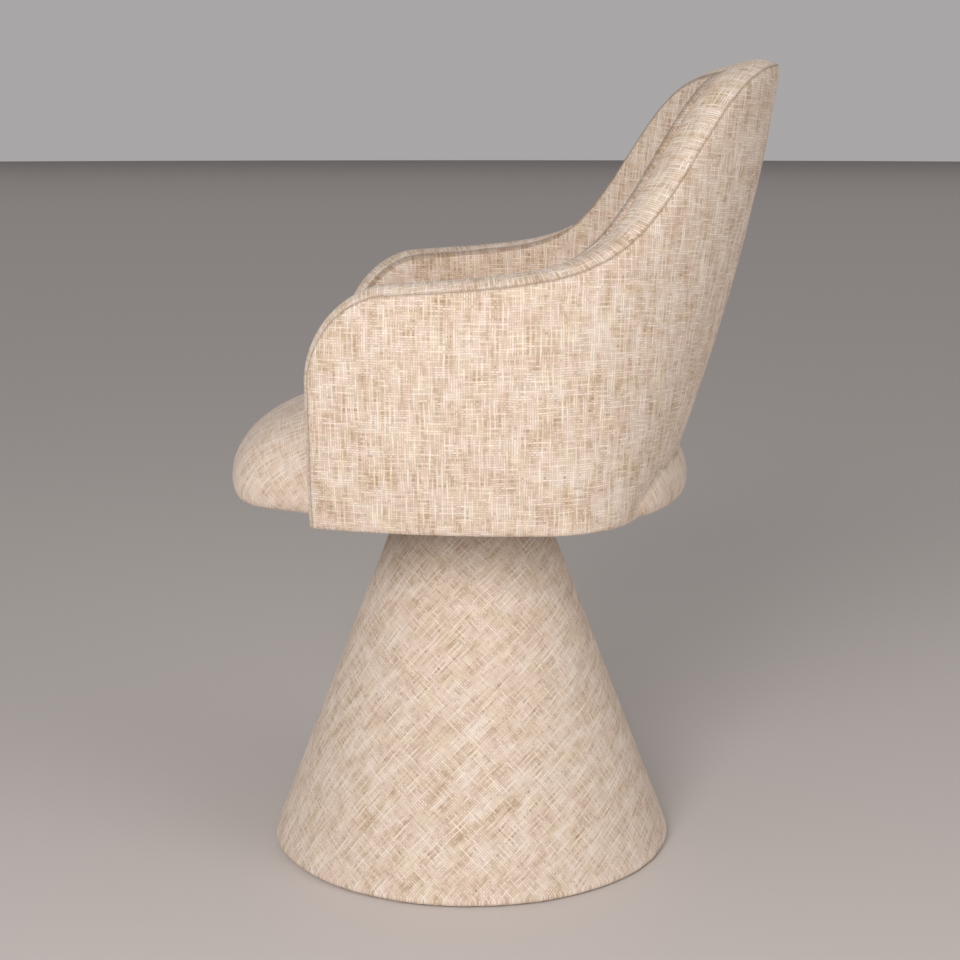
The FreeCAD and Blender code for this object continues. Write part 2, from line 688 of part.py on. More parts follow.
def cushion_form(depth):
    """Crowned cushion with drawn-in upper and lower edges, a layer's depth inside."""
    thickness, belly, foot_inset, crown_inset, foot_turn, crown_turn = measure(
        "cushion_thickness", "cushion_belly_height", "cushion_foot_inset", "cushion_crown_inset",
        "cushion_foot_turn", "cushion_crown_turn")
    low = number(cushion_low)
    lower = []
    for share in (1, 0.5, 0):
        turn = math.radians(foot_turn * share)
        fall = (belly - depth) * math.sin(turn) / math.sin(math.radians(foot_turn))
        inset = foot_inset * (1 - math.cos(turn))
        lower.append(outline(low + belly - fall, cushion_plan(inset, depth)))
    upper = []
    for share in (0, 0.33, 0.67, 1):
        turn = math.radians(crown_turn * share)
        rise = (thickness - belly - depth) * math.sin(turn) / math.sin(math.radians(crown_turn))
        inset = crown_inset * (1 - math.cos(turn))
        upper.append(outline(low + belly + rise, cushion_plan(inset, depth)))
    return Part.makeLoft(lower, True, False).fuse(Part.makeLoft(upper, True, False))


def under_seat_prism(inset, low, height):
    """Flat layer of the cushion's outline."""
    return block(outline(low, cushion_plan(0, inset)), height)


def upright_hole(spot, radius, low, height):
    """Round tool at a spot."""
    return Part.makeCylinder(radius, height, Vector(spot[0], spot[1], low))


def corner_spots(spacing):
    """The four corners of a square, as numbers."""
    half = spacing / 2
    return [(half, half), (-half, half), (-half, -half), (half, -half)]


def frame_edge(y_place):
    """Middle of the shell frame's lower edge, at a distance from the axis."""
    half, cover, padding, frame = measure(
        "shell_low_half_width", "cover_thickness", "outer_padding", "frame_thickness")
    low = number(cushion_low)
    across = Part.makeLine(Vector(0, y_place, low), Vector(half, y_place, low))
    return across.common(shell_form(cover + padding + frame / 2)).BoundBox.XMax


def strap_screw_spots():
    """Screws through both straps: two into the board and two into the shell's frame each."""
    reach, inner = measure("strap_reach", "strap_screw_reach")
    spots = []
    for y_place in (-reach, reach):
        edge = frame_edge(y_place)
        spots += [(-edge, y_place), (-inner, y_place), (inner, y_place), (edge, y_place)]
    return spots


def strap_screw(spot, growth):
    """Countersunk screw driven up through a strap."""
    head, shank, length, strap = measure(
        "screw_head_radius", "screw_shank_radius", "screw_length", "strap_thickness")
    low = Vector(spot[0], spot[1], number(strap_low))
    cone = Part.makeCone(head + growth, shank + growth, strap, low)
    rod = Part.makeCylinder(shank + growth, length, low + Vector(0, 0, strap))
    return cone.fuse(rod).removeSplitter()


def seat_board():
    """Plywood board that the cushion is built on."""
    inset, thickness, bore, flange, flange_thickness, spacing = measure(
        "board_inset", "board_thickness", "board_bore_radius", "tee_flange_radius",
        "tee_flange_thickness", "seat_bolt_spacing")
    low = number(upper_plate_top)
    gap = number("sizes.hole_gap")
    board = under_seat_prism(inset, low, thickness)
    board = board.cut(upright_hole((0, 0), bore, low, thickness))
    for spot in corner_spots(spacing):
        board = board.cut(upright_hole(spot, number(tee_barrel_radius) + gap, low, thickness))
        board = board.cut(upright_hole(spot, flange + gap, number(tee_flange_low),
                                       flange_thickness))
    for spot in strap_screw_spots():
        board = board.cut(strap_screw(spot, gap))
    shaped("seat_board", board)


def straps():
    """Steel straps that tie the shell's frame to the seat board, with their screws."""
    reach, width, thickness, end = measure(
        "strap_reach", "strap_width", "strap_thickness", "strap_end")
    gap = number("sizes.hole_gap")
    bars = []
    for y_place in (-reach, reach):
        half = frame_edge(y_place) + end
        bar = Part.makeBox(2 * half, width, thickness,
                           Vector(-half, y_place - width / 2, number(strap_low)))
        for spot in strap_screw_spots():
            bar = bar.cut(strap_screw(spot, gap))
        bars.append(bar)
    shaped("shell_straps", Part.Compound(bars))
    shaped("strap_screws", Part.Compound([strap_screw(spot, 0) for spot in strap_screw_spots()]))


def cushion():
    """Foam block and its fabric cover."""
    cover, board_inset, board_thickness, flange = measure(
        "cover_thickness", "board_inset", "board_thickness", "cushion_flange")
    low = number(cushion_low)
    inner = cushion_form(cover)
    board_block = under_seat_prism(board_inset, number(upper_plate_top), board_thickness)
    shaped("seat_foam", inner.cut(board_block))
    skin = cushion_form(0).cut(inner)
    skin = skin.cut(under_seat_prism(flange, low - cover, 3 * cover))
    shaped("seat_cover", skin)


def dust_cover():
    """Black cloth under the seat, open round the swivel plate."""
    inset, thickness, opening = measure(
        "dust_cover_inset", "dust_cover_thickness", "dust_cover_opening")
    low = number(strap_low) - thickness
    cloth = under_seat_prism(inset, low, thickness)
    window = Part.makeBox(opening, opening, thickness, Vector(-opening / 2, -opening / 2, low))
    shaped("dust_cover", cloth.cut(window))


# The shell of arms and back


def back_reach(level):
    """How far behind the axis the back's outside lies at a level."""
    low_rear, lean, bow, top = measure("shell_low_rear", "back_lean", "back_bow", "shell_top")
    low = number(cushion_low)
    share = (level - low) / (top - low)
    return low_rear + (level - low) * math.tan(math.radians(lean)) - bow * share ** 2


def shell_form(depth):
    """Closed form of the shell, a layer's depth inside its outer cover."""
    low_half, arm_half, top_half = measure(
        "shell_low_half_width", "shell_arm_half_width", "shell_top_half_width")
    low_widest, arm_widest, top_widest = measure(
        "shell_low_widest", "shell_arm_widest", "shell_top_widest")
    low_bow, top_bow, low_corner, top_corner = measure(
        "shell_low_rear_bow", "shell_top_rear_bow", "shell_low_corner", "shell_top_corner")
    arm, top, side_bow, front = measure("arm_top", "shell_form_top", "shell_side_bow", "arm_front")
    low = number(cushion_low)
    middle = (arm + top) / 2
    front_reach = front * 1.8
    sections = []
    for level, half, widest, rear_bow, corner in (
            (low, low_half, low_widest, low_bow, low_corner),
            (arm, arm_half, arm_widest, top_bow, top_corner),
            (middle, (arm_half + top_half) / 2 + 4, (arm_widest + top_widest) / 2,
             top_bow, top_corner),
            (top, top_half, top_widest, top_bow, top_corner)):
        sections.append(outline(level, {
            "half_width": half - depth,
            "widest": widest,
            "front": front_reach,
            "rear": back_reach(level) - depth,
            "side_bow": side_bow - depth,
            "front_bow": side_bow,
            "rear_bow": rear_bow - depth,
            "front_corner": low_corner - depth,
            "rear_corner": corner - depth,
        }))
    return Part.makeLoft(sections, True, False)


def rim_height(angle):
    """Height of the rim at an angle round the rim axis, 0 at the back's middle."""
    top, arm, arm_angle, fall, middle, spread = measure(
        "shell_top", "arm_top", "arm_angle", "arm_fall", "wing_angle", "wing_spread")
    arm_line = arm + fall * (arm_angle - angle)
    rise = 1 / (1 + math.exp((angle - middle) / spread))
    full = 1 / (1 + math.exp(-middle / spread))
    return arm_line + (top - arm_line) * rise / full


def rim_curve(reach, drop):
    """Curve round the rim axis from one arm over the back to the other, at the rim's height."""
    half_turn, step = measure("rim_half_turn", "rim_step")
    spots = []
    turns = []
    angle = -half_turn
    while angle <= half_turn:
        turn = math.radians(angle)
        spots.append(Vector(reach * math.sin(turn),
                            number("sizes.rim_axis") + reach * math.cos(turn),
                            rim_height(abs(angle)) - drop))
        turns.append(turn)
        angle += step
    curve = Part.BSplineCurve()
    curve.interpolate(Points=spots, Parameters=turns)
    return curve.toShape()


def below_rim(drop):
    """Everything under the rim: its upper side points at the rim axis all round."""
    inner, outer, top = measure("rim_inner_reach", "rim_outer_reach", "shell_form_top")
    roof = Part.makeRuledSurface(rim_curve(inner, drop), rim_curve(outer, drop))
    return roof.extrude(Vector(0, 0, -top))


def side_reach(half, widest, y_place):
    """Outside of the shell's side arc, at a distance in front of its widest place."""
    bow = number("sizes.shell_side_bow")
    return half - bow + math.sqrt(bow ** 2 - (y_place - widest) ** 2)


def behind_arm_front(drop):
    """Everything behind the arms' ends, which stand square to the walls and are rounded above."""
    front, corner, over, margin, roof, bow, axis, arm = measure(
        "arm_front", "arm_corner", "arm_corner_over", "arm_end_margin", "shell_form_top",
        "shell_side_bow", "rim_axis", "arm_top")
    low_half, arm_half, low_widest, arm_widest = measure(
        "shell_low_half_width", "shell_arm_half_width", "shell_low_widest", "shell_arm_widest")
    low = number(cushion_low)
    low_x = side_reach(low_half, low_widest, -front)
    arm_x = side_reach(arm_half, arm_widest, -front)
    turn_y = -front + corner
    top = rim_height(math.degrees(math.atan2(arm_x, turn_y - axis))) + over
    turn_z = top - corner
    radius = corner - drop
    inward = Vector(-1, (front + arm_widest) / math.sqrt(bow ** 2 - (front + arm_widest) ** 2), 0)

    def on_side(y_place, level):
        return Vector(low_x + (arm_x - low_x) * (level - low) / (arm - low), y_place, level)

    slant = radius * math.sqrt(0.5)
    shoulder = on_side(-front + drop, turn_z)
    crest = on_side(turn_y, turn_z + radius)
    rear = 2 * front + corner
    wire = Part.Wire([
        Part.makeLine(on_side(-front + drop, low), shoulder),
        Part.Arc(shoulder, on_side(turn_y - slant, turn_z + slant), crest).toShape(),
        Part.makeLine(crest, on_side(turn_y, roof)),
        Part.makeLine(on_side(turn_y, roof), on_side(rear, roof)),
        Part.makeLine(on_side(rear, roof), on_side(rear, low)),
        Part.makeLine(on_side(rear, low), on_side(-front + drop, low)),
    ])
    wire.translate(inward * -margin)
    side = Part.Face(wire).extrude(inward * (on_side(rear, roof).x + margin))
    return side.fuse(side.mirror(Vector(0, 0, 0), Vector(1, 0, 0)))


def cushion_room():
    """Room that the cushion takes through the shell's lower rear."""
    gap = number("sizes.cushion_wall_gap")
    belly = number("sizes.cushion_belly_height")
    low = number(cushion_low)
    room = cushion_form(-gap)
    return room.fuse(under_seat_prism(-gap, low - gap, belly + gap))


def shell():
    """Covers, edge band, padding and frame of the arms and back."""
    cover, thickness, padding, frame_thickness, rim_padding = measure(
        "cover_thickness", "shell_thickness", "outer_padding", "frame_thickness", "rim_padding")
    room = cushion_room()
    outside = shell_form(0)
    under_cover = shell_form(cover)
    at_frame = shell_form(cover + padding)
    behind_frame = shell_form(cover + padding + frame_thickness)
    over_lining = shell_form(thickness - cover)
    inside = shell_form(thickness)
    whole = below_rim(0).common(behind_arm_front(0))
    under_band = below_rim(cover).common(behind_arm_front(cover))
    frame_room = below_rim(cover + rim_padding).common(behind_arm_front(cover + rim_padding))
    frame_room = frame_room.cut(room)
    shaped("outer_cover", whole.common(outside).cut(under_cover).cut(room))
    shaped("inner_cover", whole.common(over_lining).cut(inside).cut(room))
    shaped("edge_band", whole.cut(under_band).common(under_cover).cut(over_lining))
    shaped("outer_padding", under_band.common(under_cover).cut(at_frame).cut(room))
    frame = frame_room.common(at_frame).cut(behind_frame)
    inner_padding = under_band.common(at_frame).cut(over_lining).cut(room).cut(frame)
    shaped("inner_padding", inner_padding)
    gap = number("sizes.hole_gap")
    for spot in strap_screw_spots():
        frame = frame.cut(strap_screw(spot, gap))
    shaped("shell_frame", frame)


foot_ring()
bottom_disc()
ballast_disc()
wood_screws("ballast_screws", f"({foot_disc_top} + sizes.ballast_thickness)",
            "sizes.ballast_screw_circle", "sizes.ballast_screw_count")
cone_ribs()
top_disc()
cone_layer("cone_skin", skin_inset, "sizes.cone_skin_thickness")
cone_layer("cone_padding", padding_inset, "sizes.cone_padding_thickness")
cone_cover()
lower_plate()
wood_screws("plate_screws", lower_plate_top, "sizes.plate_screw_circle",
            "sizes.plate_screw_count")
race("lower_race", lower_plate_top, f"({track_level} - {race_clear} - {lower_plate_top})")
race("upper_race", f"({track_level} + {race_clear})",
     f"({upper_plate_low} - {track_level} - {race_clear})")
ball_cage()
bearing_balls()
pivot()
upper_plate()
seat_bolts()
doc.recompute()
seat_board()
straps()
cushion()
dust_cover()
shell()
doc.recompute()

for item in doc.Objects:
    if "Invalid" in item.State or "Error" in item.State:
        raise RuntimeError(f"{item.Label} did not build: {item.State}")
for label, item in nodes.items():
    if item.Shape.isNull() or not item.Shape.isValid():
        raise RuntimeError(f"{label} has no valid shape")
for label, item in nodes.items():
    box = item.Shape.BoundBox
    print(f"{label}: {len(item.Shape.Solids)} solids, {item.Shape.Volume:.0f} mm3,"
          f" z {box.ZMin:.1f} to {box.ZMax:.1f}")
    item.Shape.exportStep(f"parts/{label}.step")
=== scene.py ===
# %% [markdown]
# # A swivel dining chair in slub cloth
# The chair is a shell of arms and back round a domed seat cushion, all covered in one beige
# slub cloth, on a cone that is covered too. The seat turns on a ball bearing in the cone's top.
# The CAD model gives every size and the turning parts. This lesson dresses it: each cover is cut
# and laid as an upholsterer would, and the hidden wood and steel get their finishes.

# %% Load the CAD model
import math

import bpy
import numpy as np
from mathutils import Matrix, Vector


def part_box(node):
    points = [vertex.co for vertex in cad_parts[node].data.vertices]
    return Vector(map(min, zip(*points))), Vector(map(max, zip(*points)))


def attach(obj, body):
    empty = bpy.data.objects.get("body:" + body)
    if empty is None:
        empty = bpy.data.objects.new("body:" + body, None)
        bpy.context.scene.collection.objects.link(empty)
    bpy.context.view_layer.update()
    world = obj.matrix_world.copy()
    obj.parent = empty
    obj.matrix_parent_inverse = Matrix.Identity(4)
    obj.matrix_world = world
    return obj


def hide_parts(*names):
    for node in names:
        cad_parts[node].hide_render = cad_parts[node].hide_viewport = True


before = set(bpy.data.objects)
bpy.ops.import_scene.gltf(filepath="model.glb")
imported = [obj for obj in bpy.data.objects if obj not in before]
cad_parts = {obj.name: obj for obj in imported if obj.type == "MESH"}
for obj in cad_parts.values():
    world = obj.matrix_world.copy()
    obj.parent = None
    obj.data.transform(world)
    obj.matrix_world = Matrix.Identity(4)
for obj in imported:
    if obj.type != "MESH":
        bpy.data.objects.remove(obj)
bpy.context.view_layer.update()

# %% [markdown]
# ## The camera
# The photograph looks at the chair's left side from a little above the back. A camera could be
# placed by eye. Here its place and lens come from the base's ellipse and the arms' heights, so
# that outlines in the render can be laid over those in the photograph.

# %% Camera
PICTURE_SIDE = 960
FOCAL_LENGTH_PIXELS = 1801.8
CAMERA_PITCH = 11.146
CAMERA_TURN = 0.9

lens_data = bpy.data.cameras.new("camera")
lens_data.sensor_width = 36
lens_data.lens = FOCAL_LENGTH_PIXELS / PICTURE_SIDE * lens_data.sensor_width
camera = bpy.data.objects.new("camera", lens_data)
camera.location = (1.9566, 0.0402, 0.792)
camera.rotation_euler = (math.radians(90 - CAMERA_PITCH), 0, math.radians(90 + CAMERA_TURN))
bpy.context.collection.objects.link(camera)
bpy.context.scene.camera = camera
bpy.context.scene.view_settings.view_transform = "Standard"
print("lens:", round(lens_data.lens, 2), "mm")

# %% [markdown]
# ## Studio light and floor
# The light in the photograph is soft daylight from the camera's side, a little to the front. One
# key lamp stands in for the window, a very wide one high above for a pale ceiling, and a weak one
# fills the rear. The camera sees the sky brighter than the light it gives, so the shade under the
# seat isn't washed out while the background stays pale.

# %% Lamps
def soft_lamp(name, place, aim, side, watts, colour):
    """A square lamp that points from its place at an aim."""
    lamp_data = bpy.data.lights.new(name, "AREA")
    lamp_data.size = side
    lamp_data.energy = watts
    lamp_data.color = colour
    lamp = bpy.data.objects.new(name, lamp_data)
    lamp.location = place
    way = np.array(aim) - np.array(place)
    flat = math.hypot(way[0], way[1])
    lamp.rotation_euler = (math.atan2(flat, -way[2]), 0, math.atan2(way[1], way[0]) - math.pi / 2)
    bpy.context.collection.objects.link(lamp)
    return lamp


SKY_LIGHT, SKY_SEEN = 0.16, 0.42

soft_lamp("window", (2.8, -0.85, 1.55), (0, 0, 0.45), 1.2, 54, (1.0, 0.98, 0.965))
soft_lamp("ceiling", (0, 0.001, 12.0), (0, 0, 0), 60, 2300, (1.0, 0.98, 0.97))
soft_lamp("fill", (1.6, 2.3, 1.3), (0, 0, 0.45), 1.6, 17, (1.0, 0.98, 0.97))
world = bpy.data.worlds.new("studio")
world.use_nodes = True
sky = world.node_tree.nodes["Background"]
sky.inputs["Color"].default_value = (0.95, 0.91, 0.92, 1)
seen = world.node_tree.nodes.new("ShaderNodeLightPath")
glow = world.node_tree.nodes.new("ShaderNodeMath")
glow.operation = "MULTIPLY_ADD"
glow.inputs[1].default_value = SKY_SEEN - SKY_LIGHT
glow.inputs[2].default_value = SKY_LIGHT
world.node_tree.links.new(seen.outputs["Is Camera Ray"], glow.inputs[0])
world.node_tree.links.new(glow.outputs[0], sky.inputs["Strength"])
bpy.context.scene.world = world
print("lamps: window, ceiling and fill, with an even world")

# %% Floor
def clear_selection():
    """Leave nothing selected, so that an operator acts on the new piece alone."""
    if bpy.context.mode != "OBJECT":
        bpy.ops.object.mode_set(mode="OBJECT")
    bpy.ops.object.select_all(action="DESELECT")


def linear(red, green, blue):
    """A colour as seen on a screen, 0 to 255, as the amounts of light that nodes take."""
    light = []
    for value in (red, green, blue):
        share = value / 255
        light.append(share / 12.92 if share <= 0.04045 else ((share + 0.055) / 1.055) ** 2.4)
    return (*light, 1.0)


def new_material(name):
    """A material with its node tree and its shader."""
    material = bpy.data.materials.new(name)
    material.use_nodes = True
    return material, material.node_tree, material.node_tree.nodes["Principled BSDF"]


clear_selection()
bpy.ops.mesh.primitive_circle_add(vertices=96, radius=40, fill_type="NGON")
floor = bpy.context.object
floor.name = "floor"
material, tree, shader = new_material("pale_floor")
shader.inputs["Base Color"].default_value = linear(222, 215, 211)
shader.inputs["Roughness"].default_value = 0.7
floor.data.materials.append(material)
print("floor:", round(floor.dimensions.x), "m across")

# %% [markdown]
# ## The slub cloth
# The cloth is a plain weave of thick and thin yarns in cream, beige, tan and grey, with a few
# brown specks. A picture of cloth would show its repeat and its own light. A weave worked out
# from the cloth's two directions has neither: every yarn has its own colour and thickness, which
# change along it, and the yarn that lies on top shows. The pattern reads a map in metres that
# each cover carries, so the yarns follow the cut of the cloth and keep their size.

# %% Helpers for node trees
def new_group(name, given, wanted):
    """An empty node group with its named inputs and outputs."""
    tree = bpy.data.node_groups.new(name, "ShaderNodeTree")
    for title, kind, value in given:
        socket = tree.interface.new_socket(title, in_out="INPUT", socket_type=kind)
        if value is not None:
            socket.default_value = value
    for title, kind in wanted:
        tree.interface.new_socket(title, in_out="OUTPUT", socket_type=kind)
    return tree, tree.nodes.new("NodeGroupInput").outputs, tree.nodes.new("NodeGroupOutput").inputs


def feed(tree, socket, value):
    """Link an output to a socket, or set the socket to a plain value."""
    if isinstance(value, bpy.types.NodeSocket):
        tree.links.new(value, socket)
    else:
        socket.default_value = value


def maths(tree, operation, *values):
    """One sum, fed by outputs or plain numbers."""
    node = tree.nodes.new("ShaderNodeMath")
    node.operation = operation
    for socket, value in zip(node.inputs, values):
        feed(tree, socket, value)
    return node.outputs[0]


def vector_maths(tree, operation, first, second):
    """One vector sum; the second value of a scaling is a number."""
    node = tree.nodes.new("ShaderNodeVectorMath")
    node.operation = operation
    feed(tree, node.inputs[0], first)
    feed(tree, node.inputs["Scale"] if operation == "SCALE" else node.inputs[1], second)
    return node.outputs[0]

# %% Helpers for noise and colour
def noise(tree, place, scale, detail=2.0, output="Fac"):
    """A soft noise over a place."""
    node = tree.nodes.new("ShaderNodeTexNoise")
    feed(tree, node.inputs["Vector"], place)
    feed(tree, node.inputs["Scale"], scale)
    feed(tree, node.inputs["Detail"], detail)
    return node.outputs[output]


def spread(tree, value, low, high, new_low, new_high):
    """A value carried from one range to another."""
    node = tree.nodes.new("ShaderNodeMapRange")
    for socket, amount in zip(node.inputs, (value, low, high, new_low, new_high)):
        feed(tree, socket, amount)
    return node.outputs[0]


def ramp(tree, value, stops):
    """A colour picked from a row of stops, each a place and a colour."""
    node = tree.nodes.new("ShaderNodeValToRGB")
    band = node.color_ramp
    while len(band.elements) < len(stops):
        band.elements.new(0.5)
    for element, (place, colour) in zip(band.elements, stops):
        element.position = place
        element.color = colour
    feed(tree, node.inputs[0], value)
    return node.outputs["Color"]


def mixed(tree, share, first, second, way="MIX"):
    """Two colours mixed by a share."""
    node = tree.nodes.new("ShaderNodeMix")
    node.data_type = "RGBA"
    node.blend_type = way
    feed(tree, node.inputs[0], share)
    feed(tree, node.inputs[6], first)
    feed(tree, node.inputs[7], second)
    return node.outputs[2]


# %% [markdown]
# Real yarns wander, so the map is first shifted a little by a slow noise. It is then counted in
# yarns. Each yarn swells and thins along its length, the warp in longer streaks than the weft,
# and goes over and under its neighbours in turn.

# %% The yarns' places and heights
weave, given, wanted = new_group(
    "slub_weave",
    [("Cloth", "NodeSocketVector", None), ("Pitch", "NodeSocketFloat", 0.0024),
     ("Speck", "NodeSocketFloat", 0.6), ("Calm", "NodeSocketFloat", 0.0)],
    [("Colour", "NodeSocketColor"), ("Height", "NodeSocketFloat"),
     ("Roughness", "NodeSocketFloat")])
wander = vector_maths(weave, "SUBTRACT", noise(weave, given["Cloth"], 34, 2, "Color"),
                      (0.5, 0.5, 0.5))
cloth_place = vector_maths(weave, "ADD", given["Cloth"],
                           vector_maths(weave, "SCALE", wander, 0.0034))
in_yarns = vector_maths(weave, "SCALE", cloth_place, maths(weave, "DIVIDE", 1.0, given["Pitch"]))
split = weave.nodes.new("ShaderNodeSeparateXYZ")
feed(weave, split.inputs[0], in_yarns)
across, along = split.outputs[0], split.outputs[1]
warp_number = maths(weave, "FLOOR", across)
weft_number = maths(weave, "FLOOR", along)


def yarn(own_place, other_place, own_number, is_weft, shift, change_rate, thinnest, thickest):
    """Height over the cloth of one set of yarns, and the slow change along each of them."""
    crest = maths(weave, "SINE", maths(weave, "MULTIPLY", maths(weave, "FRACT", own_place),
                                       math.pi))
    beat = maths(weave, "ADD", maths(weave, "ADD", other_place, own_number), shift)
    over = maths(weave, "MULTIPLY_ADD", maths(weave, "COSINE", maths(
        weave, "MULTIPLY", beat, math.pi)), 0.16, 0.8)
    spot = weave.nodes.new("ShaderNodeCombineXYZ")
    feed(weave, spot.inputs[1 if is_weft else 0], maths(weave, "MULTIPLY", own_number, 5.17))
    feed(weave, spot.inputs[0 if is_weft else 1],
         maths(weave, "MULTIPLY", other_place, change_rate))
    spot.inputs[2].default_value = 9.7 if is_weft else 3.1
    change = noise(weave, spot.outputs[0], 1.0, 3.0)
    thickness = spread(weave, change, 0.33, 0.67, thinnest, thickest)
    return maths(weave, "MULTIPLY", maths(weave, "MULTIPLY", crest, over), thickness), change


warp_height, warp_change = yarn(across, along, warp_number, False, -0.5, 0.07, 0.56, 1.34)
weft_height, weft_change = yarn(along, across, weft_number, True, 0.5, 0.14, 0.66, 1.12)
height = maths(weave, "SMOOTH_MAX", warp_height, weft_height, 0.12)
warp_on_top = maths(weave, "MULTIPLY_ADD", maths(weave, "SUBTRACT", warp_height, weft_height),
                    2.2, 0.6)
weave.nodes[-1].use_clamp = True

# %% [markdown]
# The colour follows the yarn that lies on top. Pale patches and tan ones drift over the cloth,
# longer along the warp, and the low places between the yarns are darkened with painted shade. A
# calmer cloth, for worn or brushed covers, is the same weave mixed with its own middle colour.

# %% The yarns' colours
picked = weave.nodes.new("ShaderNodeMix")
feed(weave, picked.inputs[0], warp_on_top)
feed(weave, picked.inputs[2], weft_change)
feed(weave, picked.inputs[3], warp_change)
upright = vector_maths(weave, "MULTIPLY", given["Cloth"], (1.0, 0.4, 1.0))
patch = maths(weave, "MULTIPLY_ADD", noise(weave, upright, 62, 3), 0.42, -0.21)
tone = maths(weave, "ADD", picked.outputs[0], patch)
yarn_colour = ramp(weave, tone, (
    (0.27, linear(190, 160, 126)), (0.38, linear(214, 191, 165)), (0.47, linear(230, 212, 194)),
    (0.56, linear(240, 225, 211)), (0.68, linear(252, 243, 234))))
warmth = ramp(weave, noise(weave, given["Cloth"], 45, 1), (
    (0.35, linear(255, 250, 240)), (0.5, linear(255, 251, 247)), (0.65, linear(255, 247, 243))))
yarn_colour = mixed(weave, 1.0, yarn_colour, warmth, "MULTIPLY")
# Painted shade between the yarns: the colour is darker where the weave's height is low; the fine
# fibre noise is the cloth's own tone.
yarn_gap_shade = spread(weave, height, 0.28, 0.75, 0.76, 1.03)
fibre = maths(weave, "MULTIPLY_ADD", noise(weave, given["Cloth"], 1500, 2), 0.4, 0.8)
gap_shade_and_fibre = maths(weave, "MULTIPLY", yarn_gap_shade, fibre)
grey = weave.nodes.new("ShaderNodeCombineColor")
for socket in grey.inputs:
    feed(weave, socket, gap_shade_and_fibre)
yarn_colour = mixed(weave, 1.0, yarn_colour, grey.outputs[0], "MULTIPLY")
cell = weave.nodes.new("ShaderNodeCombineXYZ")
feed(weave, cell.inputs[0], warp_number)
feed(weave, cell.inputs[1], weft_number)
chance = weave.nodes.new("ShaderNodeTexWhiteNoise")
chance.noise_dimensions = "2D"
feed(weave, chance.inputs["Vector"], cell.outputs[0])
speck = maths(weave, "MULTIPLY", maths(weave, "GREATER_THAN", chance.outputs["Value"], 0.98),
              given["Speck"])
yarn_colour = mixed(weave, given["Calm"], yarn_colour, linear(228, 210, 196))
feed(weave, wanted["Colour"], mixed(weave, speck, yarn_colour, linear(132, 106, 78)))
feed(weave, wanted["Height"], height)
feed(weave, wanted["Roughness"], spread(weave, height, 0.2, 1.0, 0.97, 0.84))
print("weave group:", len(weave.nodes), "nodes")

# %% [markdown]
# Shell, band, seat and cone are cut from one bolt, so they share the weave and differ only in how
# the warp is turned and how calm the cloth looks. The cone's cloth is cut on the bias. Each also
# gets painted shade in its seams, a darker colour where the real cloth is pulled in.

# %% Cloth materials
def slub_cloth(name, turn=0.0, pitch=0.0024, speck=0.25, calm=0.14):
    """Slub cloth whose warp is turned on the cover's map, darkened in a seam by painted shade."""
    material, tree, shader = new_material(name)
    cut = tree.nodes.new("ShaderNodeUVMap")
    cut.uv_map = "cloth"
    grain = tree.nodes.new("ShaderNodeMapping")
    grain.inputs["Rotation"].default_value = (0, 0, math.radians(turn))
    tree.links.new(cut.outputs[0], grain.inputs[0])
    pattern = tree.nodes.new("ShaderNodeGroup")
    pattern.node_tree = weave
    tree.links.new(grain.outputs[0], pattern.inputs["Cloth"])
    pattern.inputs["Pitch"].default_value = pitch
    pattern.inputs["Speck"].default_value = speck
    pattern.inputs["Calm"].default_value = calm
    relief = tree.nodes.new("ShaderNodeBump")
    relief.inputs["Strength"].default_value = 0.5
    relief.inputs["Distance"].default_value = 0.0006
    tree.links.new(pattern.outputs["Height"], relief.inputs["Height"])
    tree.links.new(relief.outputs[0], shader.inputs["Normal"])
    # Painted shade: near a seam the colour is mixed towards dark brown by the mark on the cover.
    crease_shade = tree.nodes.new("ShaderNodeAttribute")
    crease_shade.attribute_name = "crease_shade"
    depth = maths(tree, "MULTIPLY", crease_shade.outputs["Fac"], 0.52)
    tree.links.new(mixed(tree, depth, pattern.outputs["Colour"], linear(112, 86, 62)),
                   shader.inputs["Base Color"])
    tree.links.new(pattern.outputs["Roughness"], shader.inputs["Roughness"])
    shader.inputs["Specular IOR Level"].default_value = 0.2
    shader.inputs["Sheen Weight"].default_value = 0.12
    shader.inputs["Sheen Roughness"].default_value = 0.55
    return material


shell_cloth = slub_cloth("shell_cloth")
band_cloth = slub_cloth("band_cloth", turn=4)
seat_cloth = slub_cloth("seat_cloth", pitch=0.0022, speck=0.1, calm=0.35)
cone_cloth = slub_cloth("cone_cloth", turn=45, calm=0.24)
print("cloth materials: shell, band, seat and cone")

# %% [markdown]
# ## Laying a cut of cloth
# A cover could be pushed into shape by hand. Since the shell's form is known from the CAD
# model's arcs, each cover starts as a flat grid, the cut piece of cloth, and its corners are then
# moved to their places over the form. The grid's own map is kept in metres, so the yarns don't
# stretch where the cloth doesn't.

# %% The laying helpers
def laid_cloth(name, spots, cut):
    """A flat grid laid over its form: one place and one spot of the cut for each corner."""
    rows, columns = spots.shape[:2]
    clear_selection()
    bpy.ops.mesh.primitive_grid_add(x_subdivisions=columns - 1, y_subdivisions=rows - 1, size=1)
    piece = bpy.context.object
    piece.name = name
    mesh = piece.data
    flat = np.empty(len(mesh.vertices) * 3)
    mesh.vertices.foreach_get("co", flat)
    flat = flat.reshape(-1, 3)
    column = np.rint((flat[:, 0] + 0.5) * (columns - 1)).astype(int)
    row = np.rint((flat[:, 1] + 0.5) * (rows - 1)).astype(int)
    mesh.vertices.foreach_set("co", spots[row, column].reshape(-1))
    corners = np.empty(len(mesh.loops), dtype=int)
    mesh.loops.foreach_get("vertex_index", corners)
    layer = mesh.uv_layers[0]
    layer.name = "cloth"
    layer.data.foreach_set("uv", cut[row, column][corners].reshape(-1))
    mesh.update()
    return piece


def pick(piece):
    """Make a piece the only selected one, for the operator that follows."""
    clear_selection()
    piece.select_set(True)
    bpy.context.view_layer.objects.active = piece


